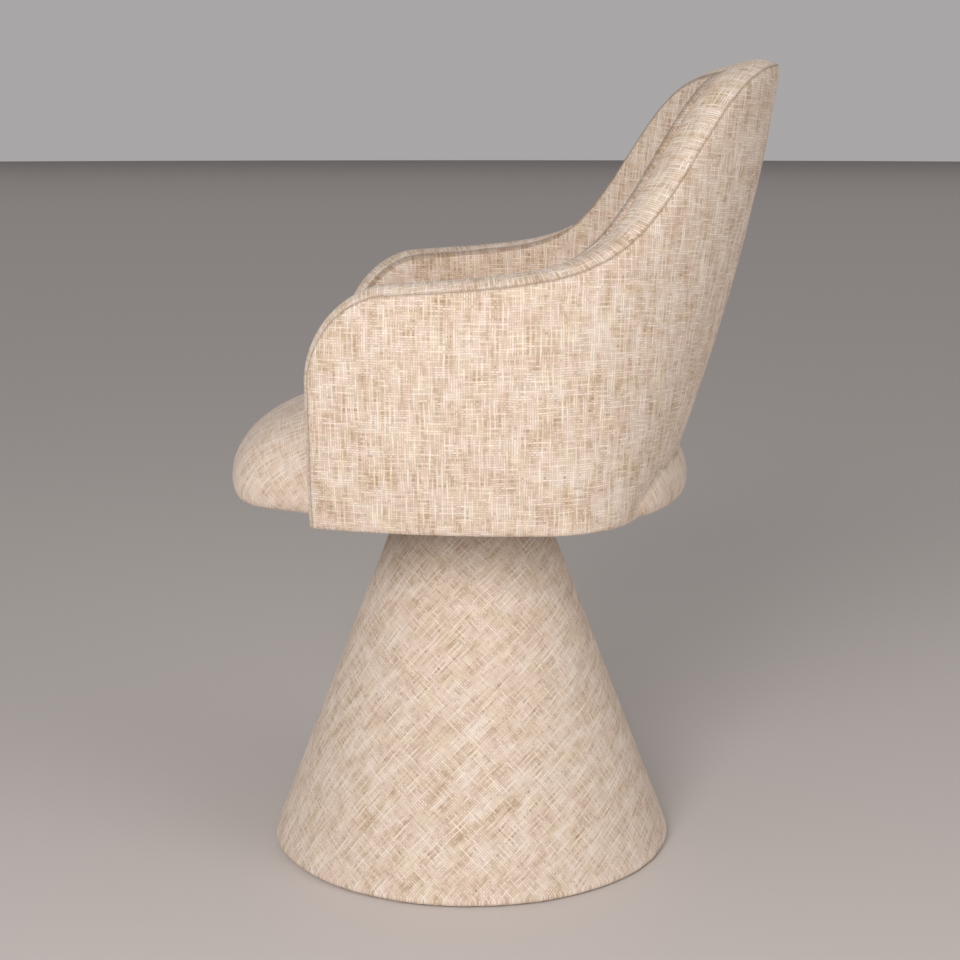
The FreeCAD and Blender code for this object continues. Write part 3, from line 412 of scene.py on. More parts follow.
def close_up(piece):
    """Join the corners that meet, and turn all faces outwards."""
    pick(piece)
    bpy.ops.object.mode_set(mode="EDIT")
    bpy.ops.mesh.select_all(action="SELECT")
    bpy.ops.mesh.remove_doubles(threshold=0.00002)
    bpy.ops.mesh.normals_make_consistent(inside=False)
    bpy.ops.object.mode_set(mode="OBJECT")


def smooth(piece, angle=50):
    """Smooth shading, with edges sharper than an angle left crisp."""
    pick(piece)
    bpy.ops.object.shade_smooth_by_angle(angle=math.radians(angle))


def thicken(piece, thickness):
    """Give a laid cover its thickness behind its faces."""
    pick(piece)
    bpy.ops.object.modifier_add(type="SOLIDIFY")
    backing = piece.modifiers[-1]
    backing.thickness = thickness
    backing.offset = -1
    bpy.ops.object.modifier_apply(modifier=backing.name)

# %% Finishing helpers
CREASE_WIDTH = 0.0014


def mark_crease(piece, *lines):
    """Mark on a cover how near each place is to a seam, for the painted shade put there."""
    mesh = piece.data
    places = np.empty(len(mesh.vertices) * 3)
    mesh.vertices.foreach_get("co", places)
    places = places.reshape(-1, 3)
    distance = np.full(len(places), 1.0)
    for spot in np.concatenate(lines):
        distance = np.minimum(distance, np.linalg.norm(places - spot, axis=-1))
    near = mesh.attributes.new("crease_shade", "FLOAT", "POINT")
    near.data.foreach_set("value", np.exp(-(distance / CREASE_WIDTH) ** 2))


def dress(piece, material, body, *nodes):
    """Give a piece its finish and the body it rides on, in place of its CAD nodes."""
    piece.data.materials.clear()
    piece.data.materials.append(material)
    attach(piece, body)
    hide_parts(*nodes)
    print(piece.name + ":", len(piece.data.polygons), "faces")


def unevenness(spots, amount):
    """Small slow swells of hand-laid padding, the same each time."""
    x, y, z = spots[..., 0], spots[..., 1], spots[..., 2]
    swell = (np.sin(41 * x + 23 * z + 1.3) * np.sin(37 * y - 29 * z + 0.4)
             + 0.6 * np.sin(83 * y + 61 * z) * np.sin(71 * x - 53 * y + 2.1))
    return amount * swell / 1.6


# %% [markdown]
# ## The shell's form
# In plan the shell is a round-cornered horseshoe: a flat arc for each side, a tighter arc for
# the back and a corner arc that touches both. The back leans, so the arcs change with height.
# A place on the wall is found by its angle round an upright axis and its level.

# %% Levels and arcs of the shell
SHELL_LOW, ARM_TOP, SHELL_TOP, FORM_TOP = 0.403, 0.6455, 0.858, 0.890
FORM_LEVELS = (SHELL_LOW, ARM_TOP, (ARM_TOP + FORM_TOP) / 2, FORM_TOP)
HALF_WIDTHS = (0.250, 0.272, 0.269, 0.258)
WIDEST_PLACES = (0.040, 0.025, 0.045, 0.065)
REAR_BOWS = (0.420, 0.290, 0.290, 0.290)
CORNER_RADII = (0.110, 0.195, 0.195, 0.195)
SIDE_BOW = 0.576
BACK_FOOT, BACK_LEAN, BACK_CURVE = 0.207, 21.3, 0.060
SHELL_THICKNESS = 0.052
RIM_AXIS = 0.100
print("form levels:", [round(level, 4) for level in FORM_LEVELS])

# %% Outside of the wall
def through(values, level):
    """A value at a level, on a smooth curve through its values at the form's levels."""
    return np.polyval(np.polyfit(FORM_LEVELS, values, 3), level)


def wall(turn, level):
    """Outside of the wall at angles and levels: its places in plan and its inward directions."""
    turn, level = np.broadcast_arrays(np.asarray(turn, float), np.asarray(level, float))
    share = (level - SHELL_LOW) / (SHELL_TOP - SHELL_LOW)
    lean_back = (level - SHELL_LOW) * math.tan(math.radians(BACK_LEAN))
    rear = BACK_FOOT + lean_back - BACK_CURVE * share ** 2
    rear_bow, corner = through(REAR_BOWS, level), through(CORNER_RADII, level)
    side = np.stack([through(HALF_WIDTHS, level) - SIDE_BOW, through(WIDEST_PLACES, level)], -1)
    end = np.stack([np.zeros_like(rear), rear - rear_bow], -1)
    line = end - side
    span = np.linalg.norm(line, axis=-1)
    reach = ((SIDE_BOW - corner) ** 2 - (rear_bow - corner) ** 2 + span ** 2) / (2 * span)
    offset = np.sqrt(np.maximum((SIDE_BOW - corner) ** 2 - reach ** 2, 0))
    unit = line / span[..., None]
    foot = side + unit * reach[..., None]
    sideways = np.stack([-unit[..., 1], unit[..., 0]], -1) * offset[..., None]
    middle = np.where((sideways[..., 1] > 0)[..., None], foot + sideways, foot - sideways)
    to_end, to_side = middle - end, middle - side
    end_x = (end + to_end * (rear_bow / np.linalg.norm(to_end, axis=-1))[..., None])[..., 0]
    side_y = (side + to_side * (SIDE_BOW / np.linalg.norm(to_side, axis=-1))[..., None])[..., 1]
    way = np.stack([np.sin(np.abs(turn)), np.cos(turn)], -1)

    def meet(centre, radius):
        gap = np.array([0, RIM_AXIS]) - centre
        half = (gap * way).sum(-1)
        rest = np.sqrt(np.maximum(half ** 2 - (gap ** 2).sum(-1) + radius ** 2, 0))
        return np.array([0, RIM_AXIS]) + way * (rest - half)[..., None]

    on_end, on_corner, on_side = meet(end, rear_bow), meet(middle, corner), meet(side, SIDE_BOW)
    use_end = (on_end[..., 0] <= end_x) & (on_end[..., 1] > end[..., 1])
    use_side = ~use_end & (on_side[..., 1] <= side_y)
    spot = np.where(use_end[..., None], on_end, np.where(use_side[..., None], on_side, on_corner))
    centre = np.where(use_end[..., None], end, np.where(use_side[..., None], side, middle))
    inward = centre - spot
    inward = inward / np.linalg.norm(inward, axis=-1)[..., None]
    flip = np.stack([np.where(turn < 0, -1.0, 1.0), np.ones_like(turn)], -1)
    return spot * flip, inward * flip

# %% Places on the wall
def on_wall(turn, level, depth):
    """Places at a depth inside the wall's outside."""
    spot, inward = wall(turn, level)
    depth = np.broadcast_to(depth, spot.shape[:-1])
    plan = spot + inward * depth[..., None]
    return np.concatenate([plan, np.broadcast_to(level, spot.shape[:-1])[..., None]], -1)


def turn_on_arm(y_place, level):
    """Angle of the arm's outside at a distance behind the axis."""
    widest = through(WIDEST_PLACES, level)
    x_place = through(HALF_WIDTHS, level) - SIDE_BOW
    x_place = x_place + np.sqrt(SIDE_BOW ** 2 - (y_place - widest) ** 2)
    return np.arctan2(x_place, y_place - RIM_AXIS)

# %% Height of the edge
ARM_SLOPE, WING_TURN, WING_SPREAD = 0.00029, 62.2, 9.3


def rim_height(turn):
    """Height of the shell's edge at an angle, 0 at the back's middle."""
    angle = np.degrees(np.abs(turn))
    arm_line = ARM_TOP + ARM_SLOPE * (100 - angle)
    rise = 1 / (1 + np.exp((angle - WING_TURN) / WING_SPREAD))
    return arm_line + (SHELL_TOP - arm_line) * rise * (1 + math.exp(-WING_TURN / WING_SPREAD))


print("shell at the arms' top, half width:", np.round(wall(math.pi / 2, ARM_TOP)[0], 4))

# %% [markdown]
# ## The line of the edge
# The edge runs up the front of one arm, round a soft corner, along the arm, up the wing, over the
# back and down the same way. Band and panels share this one line, so that their seams meet. The
# inner seam lies lower round the back, where the band is fullest.

# %% Crest of the edge
ARM_FRONT, ARM_CORNER = 0.1585, 0.096
BAND_HANG = 0.0034

corner_turn = float(turn_on_arm(-ARM_FRONT + ARM_CORNER, ARM_TOP))
corner_level = float(rim_height(corner_turn)) + 0.0015 - ARM_CORNER
top_turns = np.radians(np.arange(0, math.degrees(corner_turn) - 0.5, 1.0))
round_corner = np.radians(np.linspace(90, 0, 31))
corner_y = -ARM_FRONT + ARM_CORNER * (1 - np.cos(round_corner))
corner_z = corner_level + ARM_CORNER * np.sin(round_corner)
corner_turns = turn_on_arm(corner_y, corner_z)
corner_z = np.minimum(corner_z, rim_height(corner_turns))
front_z = np.linspace(corner_level, SHELL_LOW - BAND_HANG, 31)[1:]
front_turns = turn_on_arm(-ARM_FRONT, front_z)
crest_turn = np.concatenate([top_turns, corner_turns, front_turns])
crest_level = np.concatenate([rim_height(top_turns), corner_z, front_z])
for _ in range(3):
    crest_level[1:-1] = (crest_level[:-2] + 2 * crest_level[1:-1] + crest_level[2:]) / 4
panel_columns = len(top_turns) + len(corner_turns)
print("edge line:", len(crest_turn), "places on each side, crest at",
      round(float(crest_level.max()), 4))

# %% Lines below the crest
spot, inward = wall(crest_turn, crest_level)
beside = np.stack([-inward[:, 1], inward[:, 0]], -1)
beside = beside * np.sign((np.gradient(spot, axis=0) * beside).sum(-1)[5])
step = (np.gradient(spot, axis=0) * beside).sum(-1)
fall = np.gradient(crest_level)
length = np.hypot(step, fall)
step, fall = step / length, fall / length
turn_rate = 1 / ((wall(crest_turn + 0.001, crest_level)[0] - spot) * beside).sum(-1) * 0.001


def below_crest(distance):
    """The line at a distance below the crest, square to it along the wall: turns and levels."""
    return crest_turn + distance * fall * turn_rate, crest_level - distance * step


SEAM_DROP, BACK_DROP = 0.0045, 0.0095
outer_drop = np.full(len(crest_turn), SEAM_DROP)
inner_drop = SEAM_DROP + BACK_DROP / (1 + np.exp((np.degrees(crest_turn) - 55) / 7))
outer_edge, inner_edge = below_crest(outer_drop), below_crest(inner_drop)


def both_sides(turns, levels):
    """The same line on both sides, from one arm's front foot over the back to the other's."""
    return (np.concatenate([-turns[:0:-1], turns]), np.concatenate([levels[:0:-1], levels]))


print("seams:", SEAM_DROP, "to", round(float(inner_drop.max()), 4), "m below the crest")

# %% [markdown]
# ## The outer and inner panels
# The outer panel is one cut of cloth from arm to arm over thin padding, with its warp upright,
# and its lower hem is turned under the shell. The inner panel lines the arms and back over
# thicker foam. Each sinks a little where its edge is sewn to the band, and its seam allowance
# turns inwards there, as it does where two cloths are sewn.

# %% Panels
SEAM_SINK, SINK_WIDTH, EDGE_TUCK = 0.0021, 0.0045, 0.0055
PUFF, CALM_EDGE = 0.0005, 0.020
SEAM_DEPTH = 0.0022


def panel(edge, depth, facing, foot_level):
    """A panel from its seam down to its foot, with its edges tucked into the seam."""
    turns = np.append(edge[0][:panel_columns], edge[0][panel_columns - 1])
    levels = np.append(edge[1][:panel_columns], edge[1][panel_columns - 1])
    y_places = on_wall(turns, levels, 0.0)[:, 1]
    near = np.array([0, 0, 0.0007, 0.0016, 0.0027, 0.004, 0.0056, 0.0078, 0.011, 0.016])
    down = np.linspace(0, 1, 46)[1:, None]
    level = np.concatenate([levels - near[:, None],
                            levels - near[-1] - down * (levels - near[-1] - foot_level)])
    turn = np.where(turns > math.pi / 2, turn_on_arm(np.minimum(y_places, RIM_AXIS), level), turns)
    turn, level = both_sides(turn.T, level.T)
    turn, level = turn.T, level.T
    seam_spots = on_wall(*both_sides(*edge), depth)
    spots = on_wall(turn, level, depth)
    distance = np.full(spots.shape[:2], 1.0)
    for spot in seam_spots:
        distance = np.minimum(distance, np.linalg.norm(spots - spot, axis=-1))
    sink = SEAM_SINK * np.exp(-(distance / SINK_WIDTH) ** 1.6)
    sink[0] += EDGE_TUCK
    sink[1:, [0, -1]] += EDGE_TUCK
    puff = unevenness(spots, PUFF) * np.minimum(distance / CALM_EDGE, 1)
    spots = on_wall(turn, level, depth + facing * (sink - puff))
    return spots, turn, level

# %% Cut of a panel
def cut_map(spots, turn, foot_row, depth):
    """The panel's flat cut in metres: round the shell, and up each column from the foot."""
    round_turns = np.radians(np.arange(-150, 151))
    ring = on_wall(round_turns, 0.60, depth)
    reach = np.concatenate([[0], np.cumsum(np.linalg.norm(np.diff(ring, axis=0), axis=-1))])
    sideways = np.broadcast_to(np.interp(turn[0], round_turns, reach), turn.shape)
    climb = np.concatenate([np.zeros((1, spots.shape[1])),
                            np.cumsum(np.linalg.norm(np.diff(spots, axis=0), axis=-1), axis=0)])
    return np.stack([sideways, climb[foot_row] - climb], -1)


def face_away(piece, way):
    """Turn a panel's faces away from the rim's axis with a way of 1, towards it with -1."""
    middle = piece.data.polygons[len(piece.data.polygons) // 2]
    outward = np.array(middle.center[:2]) - [0, RIM_AXIS]
    if way * (np.array(middle.normal[:2]) * outward).sum() < 0:
        piece.data.flip_normals()


def finer(line):
    """The same line with three more places between each two."""
    shares = np.array([0, 0.25, 0.5, 0.75])[:, None]
    parts = [start * (1 - shares) + stop * shares for start, stop in zip(line, line[1:])]
    return np.concatenate(parts + [line[-1:]])


# %% Outer panel
spots, turn, level = panel(outer_edge, 0.0, 1, SHELL_LOW + 0.002)
end_tuck = np.zeros(turn.shape[1])
end_tuck[[0, -1]] = EDGE_TUCK
hem = []
for inset, drop in ((0.0004, 0.0034), (0.0015, 0.0060), (0.004, 0.0066), (0.010, 0.0060),
                    (0.020, 0.005), (0.047, 0.003)):
    hem.append(on_wall(turn[-1], level[-1] - drop, inset + end_tuck))
hem_turn = np.repeat(turn[-1:], len(hem), axis=0)
foot_row = len(spots) - 1
spots = np.concatenate([spots, np.array(hem)])
outer_panel = laid_cloth("outer_panel", spots,
                         cut_map(spots, np.concatenate([turn, hem_turn]), foot_row, 0.0))
face_away(outer_panel, 1)
outer_seam = finer(on_wall(*both_sides(*outer_edge), SEAM_DEPTH))
# Painted shade along the seam with the band.
mark_crease(outer_panel, outer_seam)
thicken(outer_panel, 0.004)
smooth(outer_panel)
dress(outer_panel, shell_cloth, "seat", "outer_cover", "outer_padding")

# %% Inner panel
spots, turn, level = panel(inner_edge, SHELL_THICKNESS, -1, SHELL_LOW + 0.006)
inner_panel = laid_cloth("inner_panel", spots,
                         cut_map(spots, turn, len(spots) - 1, SHELL_THICKNESS))
face_away(inner_panel, -1)
inner_seam = finer(on_wall(*both_sides(*inner_edge), SHELL_THICKNESS - SEAM_DEPTH))
# Painted shade along the seam with the band.
mark_crease(inner_panel, inner_seam)
thicken(inner_panel, 0.006)
smooth(inner_panel)
dress(inner_panel, shell_cloth, "seat", "inner_cover", "inner_padding")

# %% [markdown]
# ## The boxing band
# A strip of cloth as wide as the wall covers its edge, sewn to both panels and padded a little,
# so its middle stands up between the seams. A tube along a curve would turn at the corners. Here
# each row of the strip follows the same edge line, at its own depth and its own drop.

# %% Band
BAND_EDGE = 0.0024
BAND_ROWS, WING_COLUMN = 25, 150
BACK_CROWN, ARM_CROWN = 0.0008, 0.0044
crown = BACK_CROWN + ARM_CROWN / (1 + np.exp((62 - np.degrees(crest_turn)) / 7))
rows = []
for share in np.linspace(-1, 1, BAND_ROWS):
    drop = outer_drop if share < 0 else inner_drop
    rows.append((share, drop * abs(share) ** 2.3 - crown * (1 - share ** 4), 0.0))
for share, extra in ((1, 0.003), (0.98, 0.007), (0.5, 0.008), (0, 0.008), (-0.5, 0.008),
                     (-0.98, 0.007), (-1, 0.003)):
    rows.append((share, outer_drop if share < 0 else inner_drop, extra))
rows.append(rows[0])
spots = []
for share, drop, extra in rows:
    lie = BAND_EDGE + (SHELL_THICKNESS - 2 * BAND_EDGE) * (share + 1) / 2
    lines = both_sides(*below_crest(drop + extra))
    spots.append(on_wall(lines[0], lines[1], lie))
spots = np.array(spots)
spots[..., 2] += unevenness(spots, 0.0004)

# %% Cut and closing of the band
across_band = np.cumsum(np.concatenate([[0], np.linalg.norm(
    np.diff(spots[:, WING_COLUMN], axis=0), axis=-1)]))
along_band = np.cumsum(np.concatenate([[0], np.linalg.norm(
    np.diff(spots[BAND_ROWS // 2], axis=0), axis=-1)]))
cut = np.stack(np.broadcast_arrays(along_band[None, :], across_band[:, None]), -1)
band = laid_cloth("edge_band_cloth", spots, cut)
close_up(band)
bpy.ops.object.mode_set(mode="EDIT")
bpy.ops.mesh.select_all(action="DESELECT")
bpy.ops.mesh.select_mode(type="EDGE")
bpy.ops.mesh.select_non_manifold()
bpy.ops.mesh.edge_face_add()
bpy.ops.mesh.select_all(action="SELECT")
bpy.ops.mesh.normals_make_consistent(inside=False)
bpy.ops.mesh.select_mode(type="VERT")
bpy.ops.object.mode_set(mode="OBJECT")
# Painted shade along both seams.
mark_crease(band, outer_seam, inner_seam)
smooth(band)
dress(band, band_cloth, "seat", "edge_band")
print("band:", round(float(along_band[-1]), 3), "m long")

# %% [markdown]
# ## The seat cushion
# The cushion is foam on a board, pulled over with one cut of cloth: flat to the eye on top, low
# at the rim, with a full nose that rolls under and a rear that shows below the back. Its outline
# is drawn with tangent arcs and repeated smaller and smaller up the crown.

# %% Outline of the cushion
def arc_places(centre, start, end, count=40):
    """Places along the short arc from start to end round a centre."""
    from_angle = math.atan2(*(np.array(start) - centre)[::-1])
    to_angle = math.atan2(*(np.array(end) - centre)[::-1])
    sweep = (to_angle - from_angle + math.pi) % (2 * math.pi) - math.pi
    angles = from_angle + sweep * np.linspace(0, 1, count)
    radius = np.linalg.norm(np.array(start) - centre)
    return np.array(centre) + radius * np.stack([np.cos(angles), np.sin(angles)], -1)


CUSHION_HALF, CUSHION_BOW = 0.197, 0.523


def cushion_outline():
    """The right half of the cushion's outline, from the nose's middle to the rear's."""
    widest, front, rear = 0.040, 0.261, 0.236
    side = np.array([CUSHION_HALF - CUSHION_BOW, widest])
    places = []
    for centre, bow, corner, forward in ((np.array([0, -front + 0.330]), 0.330, 0.066, True),
                                         (np.array([0, rear - 0.300]), 0.300, 0.095, False)):
        line = centre - side
        span = np.linalg.norm(line)
        side_reach = CUSHION_BOW - corner
        reach = (side_reach ** 2 - (bow - corner) ** 2 + span ** 2) / (2 * span)
        offset = math.sqrt(side_reach ** 2 - reach ** 2)
        line = line / span
        shift = np.array([-line[1], line[0]]) * offset
        middles = sorted((side + line * reach + shift, side + line * reach - shift),
                         key=lambda spot: spot[1])
        middle = middles[0] if forward else middles[1]
        on_end = centre + (middle - centre) * bow / np.linalg.norm(middle - centre)
        on_side = side + (middle - side) * CUSHION_BOW / np.linalg.norm(middle - side)
        places.append((centre, middle, on_end, on_side))
    front_part, rear_part = places
    return np.concatenate([
        arc_places(front_part[0], (0, -front), front_part[2]),
        arc_places(front_part[1], front_part[2], front_part[3])[1:],
        arc_places(side, front_part[3], rear_part[3])[1:],
        arc_places(rear_part[1], rear_part[3], rear_part[2])[1:],
        arc_places(rear_part[0], rear_part[2], (0, rear))[1:]])

# %% Outline with even places
def evenly(line, count):
    """The same line with its places set evenly along it."""
    run = np.concatenate([[0], np.cumsum(np.linalg.norm(np.diff(line, axis=0), axis=-1))])
    wanted_run = np.linspace(0, run[-1], count)
    return np.stack([np.interp(wanted_run, run, line[:, axis]) for axis in range(line.shape[1])],
                    -1)


half_outline = cushion_outline()
outline = np.concatenate([half_outline, (half_outline * [-1, 1])[-2::-1]])
outline = evenly(outline, 241)
print("cushion outline:", round(float(np.linalg.norm(np.diff(outline, axis=0), axis=-1).sum()), 3),
      "m round")

# %% Profile of the cushion
def smooth_line(places, count):
    """A smooth line through places, each leaving in the direction of its neighbours."""
    places = np.array(places, float)
    ends = np.concatenate([[2 * places[0] - places[1]], places, [2 * places[-1] - places[-2]]])
    parts = []
    for k in range(1, len(ends) - 2):
        before, start, stop, after = ends[k - 1:k + 3]
        t = np.linspace(0, 1, 24, endpoint=False)[:, None]
        parts.append(0.5 * (2 * start + (stop - before) * t
                            + (2 * before - 5 * start + 4 * stop - after) * t ** 2
                            + (3 * start - before - 3 * stop + after) * t ** 3))
    parts.append(places[-1:])
    return evenly(np.concatenate(parts), count)


profile = smooth_line([
    (CUSHION_HALF, 0.4032), (0.120, 0.4032), (0.060, 0.4030), (0.042, 0.4022),
    (0.030, 0.4000), (0.020, 0.3985), (0.011, 0.3990), (0.0045, 0.4030), (0.001, 0.410),
    (0, 0.419), (0.0007, 0.430), (0.0035, 0.442), (0.0098, 0.4565), (0.019, 0.470),
    (0.0317, 0.482), (0.046, 0.4915), (0.063, 0.4985), (0.086, 0.5035), (0.120, 0.5072),
    (0.160, 0.5088), (CUSHION_HALF, 0.5092)], 100)
shrink = (CUSHION_HALF - profile[:, 0]) / CUSHION_HALF
shrink[[0, -1]] = 0
centre = np.array([0, -0.0125])
plan = centre + (outline - centre)[None] * shrink[:, None, None]
spots = np.concatenate([plan, np.broadcast_to(profile[:, 1][:, None], plan.shape[:2])[..., None]],
                       -1)
swell = unevenness(spots, 0.0007) * np.clip(shrink * 4, 0, 1)[:, None]
spots[..., 2] += swell
cover_run = np.concatenate([np.zeros((1, len(outline))), np.cumsum(np.linalg.norm(
    np.diff(spots[::-1], axis=0), axis=-1), axis=0)])[::-1]
way = (outline - centre) / np.linalg.norm(outline - centre, axis=-1)[:, None]
cushion = laid_cloth("seat_cushion", spots, way[None] * cover_run[..., None])
close_up(cushion)

# %% [markdown]
# The cushion bulges out below the back. Where it leaves the panel the two cloths press together,
# and a thin line of painted shade is put on the cushion between them. The line is found on each
# column of the cushion, at the last place that is still outside the wall.

# %% Line where the cushion meets the back
FOOT_ROWS = 30
from_axis = np.linalg.norm(spots[..., :2] - [0, RIM_AXIS], axis=-1)
spot_turn = np.arctan2(spots[..., 0], spots[..., 1] - RIM_AXIS)
wall_spots = wall(spot_turn, np.maximum(spots[..., 2], SHELL_LOW))[0]
beyond = from_axis - np.linalg.norm(wall_spots - [0, RIM_AXIS], axis=-1)
contact = []
for column in np.flatnonzero((beyond[FOOT_ROWS:] > 0).any(axis=0) & (outline[:, 1] > RIM_AXIS)):
    last = FOOT_ROWS + np.flatnonzero(beyond[FOOT_ROWS:, column] > 0)[-1]
    share = beyond[last, column] / (beyond[last, column] - beyond[last + 1, column])
    contact.append(spots[last, column] * (1 - share) + spots[last + 1, column] * share)
contact = finer(finer(np.array(contact)))
# Painted shade: the cushion's colour is darkened along the line where it meets the back.
mark_crease(cushion, contact)
print("cushion shows behind the back for", len(contact), "places")
smooth(cushion)
dress(cushion, seat_cloth, "seat", "seat_cover", "seat_foam")

# %% [markdown]
# ## The cone's cover
# One flat cut of cloth is wrapped round the cone and sewn at the back. A cone unrolls flat, so
# the yarns run straight on the cut: they cross in diamonds at the side and lie along the outline
# in front and behind. The cover's profile is drawn point by point and spun round the axis.

# %% Profile and spin
CONE_FOOT, CONE_NECK, CONE_LOW, CONE_HIGH = 0.224, 0.0775, 0.004, 0.382
CONE_SLOPE = (CONE_FOOT - CONE_NECK) / (CONE_HIGH - CONE_LOW)
lean = math.atan(CONE_SLOPE)
roll, roll_z = 0.0045, 0.006
roll_r = CONE_FOOT - (roll_z - CONE_LOW) * CONE_SLOPE - roll / math.cos(lean)
cone_profile = [(0.190, 0.0048), (0.2075, 0.0046), (0.2105, 0.0034)]
for turn_part in np.linspace(-100, math.degrees(lean), 11):
    angle = math.radians(turn_part)
    cone_profile.append((roll_r + roll * math.cos(angle), roll_z + roll * math.sin(angle)))
foot_r, foot_z = cone_profile[-1]
bend_r, bend_z = 0.0792, 0.3785
for share in np.linspace(0, 1, 44)[1:]:
    cone_profile.append((foot_r + (bend_r - foot_r) * share, foot_z + (bend_z - foot_z) * share))
cone_profile += [(CONE_NECK, 0.3815), (0.0745, 0.3831), (0.070, 0.3833)]

clear_selection()
bpy.ops.mesh.primitive_plane_add(size=0.01)
cone_cover = bpy.context.object
cone_cover.name = "cone_cover_cloth"
bpy.ops.object.mode_set(mode="EDIT")
bpy.ops.mesh.select_mode(type="VERT")
bpy.ops.mesh.select_all(action="SELECT")
bpy.ops.mesh.merge(type="CENTER")
bpy.ops.transform.translate(value=(cone_profile[0][0], 0, cone_profile[0][1]))
for here, there in zip(cone_profile, cone_profile[1:]):
    bpy.ops.mesh.extrude_region_move(TRANSFORM_OT_translate={
        "value": (there[0] - here[0], 0, there[1] - here[1])})
bpy.ops.mesh.select_all(action="SELECT")
bpy.ops.mesh.spin(steps=240, angle=2 * math.pi, center=(0, 0, 0), axis=(0, 0, 1))
bpy.ops.mesh.select_all(action="SELECT")
bpy.ops.mesh.remove_doubles(threshold=0.00002)
bpy.ops.mesh.normals_make_consistent(inside=False)
bpy.ops.object.mode_set(mode="OBJECT")

# %% [markdown]
# The seam at the back is a shallow valley. The map is the cone unrolled: its distance from the
# cone's tip, and its angle made smaller by the lean. Below the foot it goes on under the edge.

# %% Seam and unrolled map of the cone
TURN_UNDER = 0.012
mesh = cone_cover.data
places = np.empty(len(mesh.vertices) * 3)
mesh.vertices.foreach_get("co", places)
places = places.reshape(-1, 3)
angle = np.arctan2(places[:, 1], places[:, 0])
radius = np.hypot(places[:, 0], places[:, 1])
at_seam = np.exp(-((math.pi - np.abs(angle)) * radius / 0.003) ** 2) * (places[:, 2] > 0.02)
pull = 1 + (unevenness(places, 0.0006) - 0.0014 * at_seam) / radius
moved = places * np.stack([pull, pull, np.ones_like(pull)], -1)
mesh.vertices.foreach_set("co", moved.reshape(-1))
cone_tip = CONE_LOW + CONE_FOOT / CONE_SLOPE
slant = np.where(places[:, 2] > TURN_UNDER, (cone_tip - places[:, 2]) / math.cos(lean),
                 (cone_tip - TURN_UNDER) / math.cos(lean) + 0.226 - radius)
corners = np.empty(len(mesh.loops), dtype=int)
mesh.loops.foreach_get("vertex_index", corners)
face_of = np.repeat(np.arange(len(mesh.polygons)), [len(face.vertices) for face in mesh.polygons])
middles = np.array([math.atan2(face.center[1], face.center[0]) for face in mesh.polygons])
corner_angle = angle[corners]
gap = corner_angle - middles[face_of]
corner_angle = corner_angle - 2 * math.pi * np.round(gap / (2 * math.pi))
fan = corner_angle * math.sin(lean)
layer = mesh.uv_layers.new(name="cloth") if not mesh.uv_layers else mesh.uv_layers[0]
layer.name = "cloth"
flat = np.stack([slant[corners] * np.sin(fan), -slant[corners] * np.cos(fan)], -1)
layer.data.foreach_set("uv", flat.reshape(-1))
mesh.update()
thicken(cone_cover, 0.0012)
smooth(cone_cover)
dress(cone_cover, cone_cloth, "base", "cone_cover", "cone_padding")

# %% [markdown]
# ## The dust cover
# A thin black cloth is stapled under the seat, with a square opening round the swivel plate. It
# is one sheet with a very small sag between its staples.

# %% Dust cover
DUST_MARGIN, WINDOW_HALF, SAG = 0.042, 0.100, 0.0014

cloth_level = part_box("dust_cover")[1][2]
rim = evenly(centre + (outline - centre) * (CUSHION_HALF - DUST_MARGIN) / CUSHION_HALF, 161)
angles = np.arctan2(rim[:, 1], rim[:, 0])
window = WINDOW_HALF / np.maximum(np.abs(np.cos(angles)), np.abs(np.sin(angles)))
hole = np.stack([window * np.cos(angles), window * np.sin(angles)], -1)
share = np.linspace(0, 1, 13)[:, None, None]
plan = hole[None] * (1 - share) + rim[None] * share
sag = SAG * np.sin(math.pi * share[..., 0]) * np.ones((1, len(rim)))
spots = np.concatenate([plan, (cloth_level - sag)[..., None]], -1)
dust_cover = laid_cloth("dust_cover_cloth", spots, plan)
close_up(dust_cover)
thicken(dust_cover, 0.0006)

# %% [markdown]
# ## Hard finishes
# Most of these surfaces are hidden by the covers, but the part is also shown opened up. Each
# gets the finish of its material: ply with its layers, cast iron, zinc and black steel, ground
# races, balls and moulded plastic. One group makes the small unevenness that all of them share.

# %% Group for small unevenness
mottle, given, wanted = new_group(
    "mottle",
    [("Place", "NodeSocketVector", None), ("Scale", "NodeSocketFloat", 200.0),
     ("Low", "NodeSocketFloat", 0.3), ("High", "NodeSocketFloat", 0.5)],
    [("Roughness", "NodeSocketFloat"), ("Height", "NodeSocketFloat")])
grainy = noise(mottle, given["Place"], given["Scale"], 4.0)
feed(mottle, wanted["Roughness"], spread(mottle, grainy, 0.3, 0.7, given["Low"], given["High"]))
feed(mottle, wanted["Height"], grainy)


def hard_finish(name, dark, pale, scale, low, high, metallic=0.0, relief=0.1, stretch=(1, 1, 1)):
    """A hard material whose colour, gloss and relief vary a little over the piece."""
    material, tree, shader = new_material(name)
    spot = tree.nodes.new("ShaderNodeTexCoord").outputs["Object"]
    place = vector_maths(tree, "MULTIPLY", spot, stretch)
    group = tree.nodes.new("ShaderNodeGroup")
    group.node_tree = mottle
    feed(tree, group.inputs["Place"], place)
    group.inputs["Scale"].default_value = scale
    group.inputs["Low"].default_value = low
    group.inputs["High"].default_value = high
    colour = ramp(tree, noise(tree, place, scale * 0.4, 3), ((0.35, dark), (0.65, pale)))
    feed(tree, shader.inputs["Base Color"], colour)
    feed(tree, shader.inputs["Roughness"], group.outputs["Roughness"])
    shader.inputs["Metallic"].default_value = metallic
    bump = tree.nodes.new("ShaderNodeBump")
    bump.inputs["Strength"].default_value = relief
    bump.inputs["Distance"].default_value = 0.0004
    feed(tree, bump.inputs["Height"], group.outputs["Height"])
    feed(tree, shader.inputs["Normal"], bump.outputs[0])
    return material


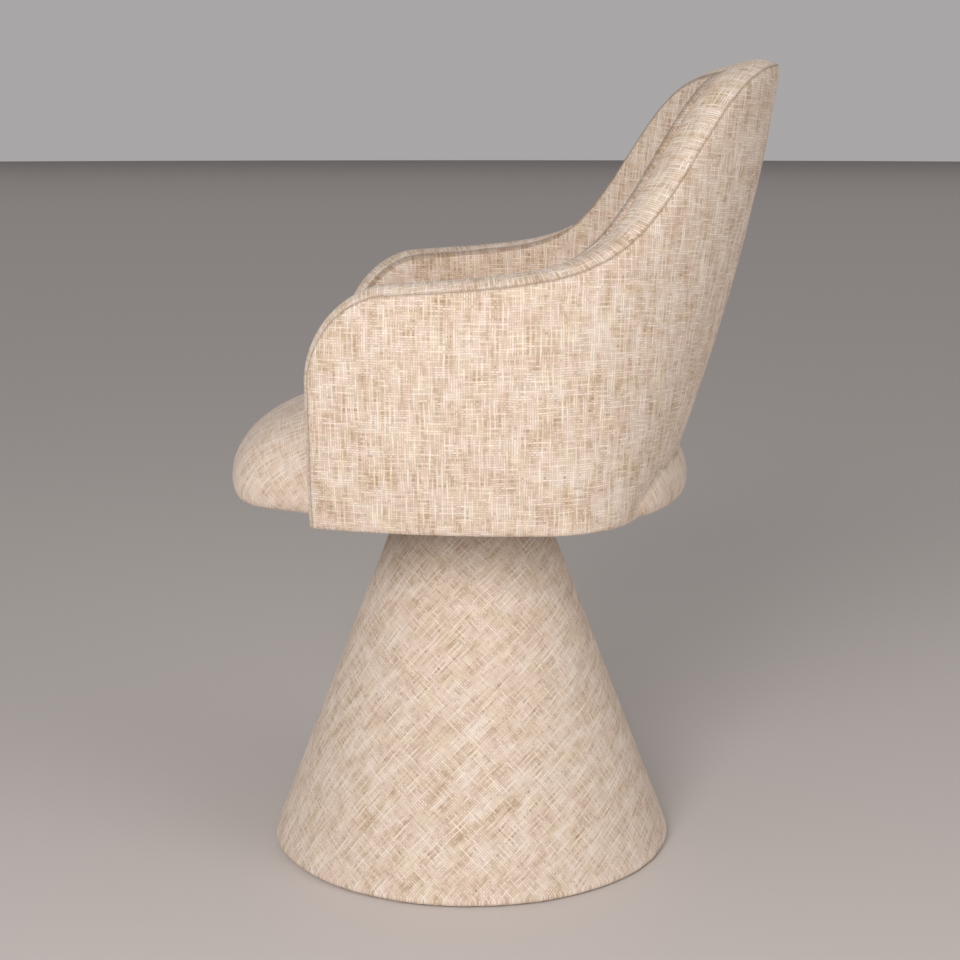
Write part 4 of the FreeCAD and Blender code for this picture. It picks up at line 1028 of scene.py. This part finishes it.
# %% Hard materials
plywood = hard_finish("plywood", linear(176, 138, 96), linear(212, 178, 134), 60, 0.5, 0.7,
                      relief=0.25, stretch=(0.25, 6, 9))
cast_iron = hard_finish("cast_iron", linear(58, 58, 60), linear(86, 86, 88), 700, 0.55, 0.75,
                        metallic=0.7, relief=0.7)
black_steel = hard_finish("black_steel", linear(22, 22, 23), linear(34, 34, 35), 900, 0.35, 0.5,
                          metallic=0.0, relief=0.35)
zinc_steel = hard_finish("zinc_steel", linear(176, 178, 182), linear(206, 207, 205), 260, 0.22,
                         0.4, metallic=1.0, relief=0.08)
race_steel = hard_finish("race_steel", linear(150, 152, 156), linear(178, 180, 184), 500, 0.14,
                         0.26, metallic=1.0, relief=0.05, stretch=(1, 1, 5))
ball_steel = hard_finish("ball_steel", linear(190, 192, 196), linear(214, 215, 218), 300, 0.05,
                         0.12, metallic=1.0, relief=0.02)
cage_plastic = hard_finish("cage_plastic", linear(222, 214, 196), linear(236, 230, 214), 400,
                           0.4, 0.5, relief=0.12)
glide_plastic = hard_finish("glide_plastic", linear(20, 20, 21), linear(30, 30, 31), 1200, 0.45,
                            0.6, relief=0.3)
dust_cloth = hard_finish("dust_cloth", linear(24, 24, 25), linear(44, 44, 46), 1500, 0.85, 0.98,
                         relief=0.8)
dress(dust_cover, dust_cloth, "seat", "dust_cover")

# %% Finishes of the CAD nodes
FINISHES = (
    (plywood, "bottom_disc cone_ribs top_disc cone_skin seat_board shell_frame"),
    (cast_iron, "ballast_disc"),
    (black_steel, "lower_swivel_plate upper_swivel_plate shell_straps"),
    (zinc_steel, "ballast_screws plate_screws pivot_bolt thrust_washer lock_nut seat_bolts "
                 "tee_nuts strap_screws"),
    (race_steel, "lower_race upper_race"),
    (ball_steel, "bearing_balls"),
    (cage_plastic, "ball_cage"),
    (glide_plastic, "foot_ring"))
finished = set()
for material, names in FINISHES:
    for name in names.split():
        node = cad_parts[name]
        node.data.materials.clear()
        node.data.materials.append(material)
        finished.add(name)
print("finished nodes:", len(finished), "of", len(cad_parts))
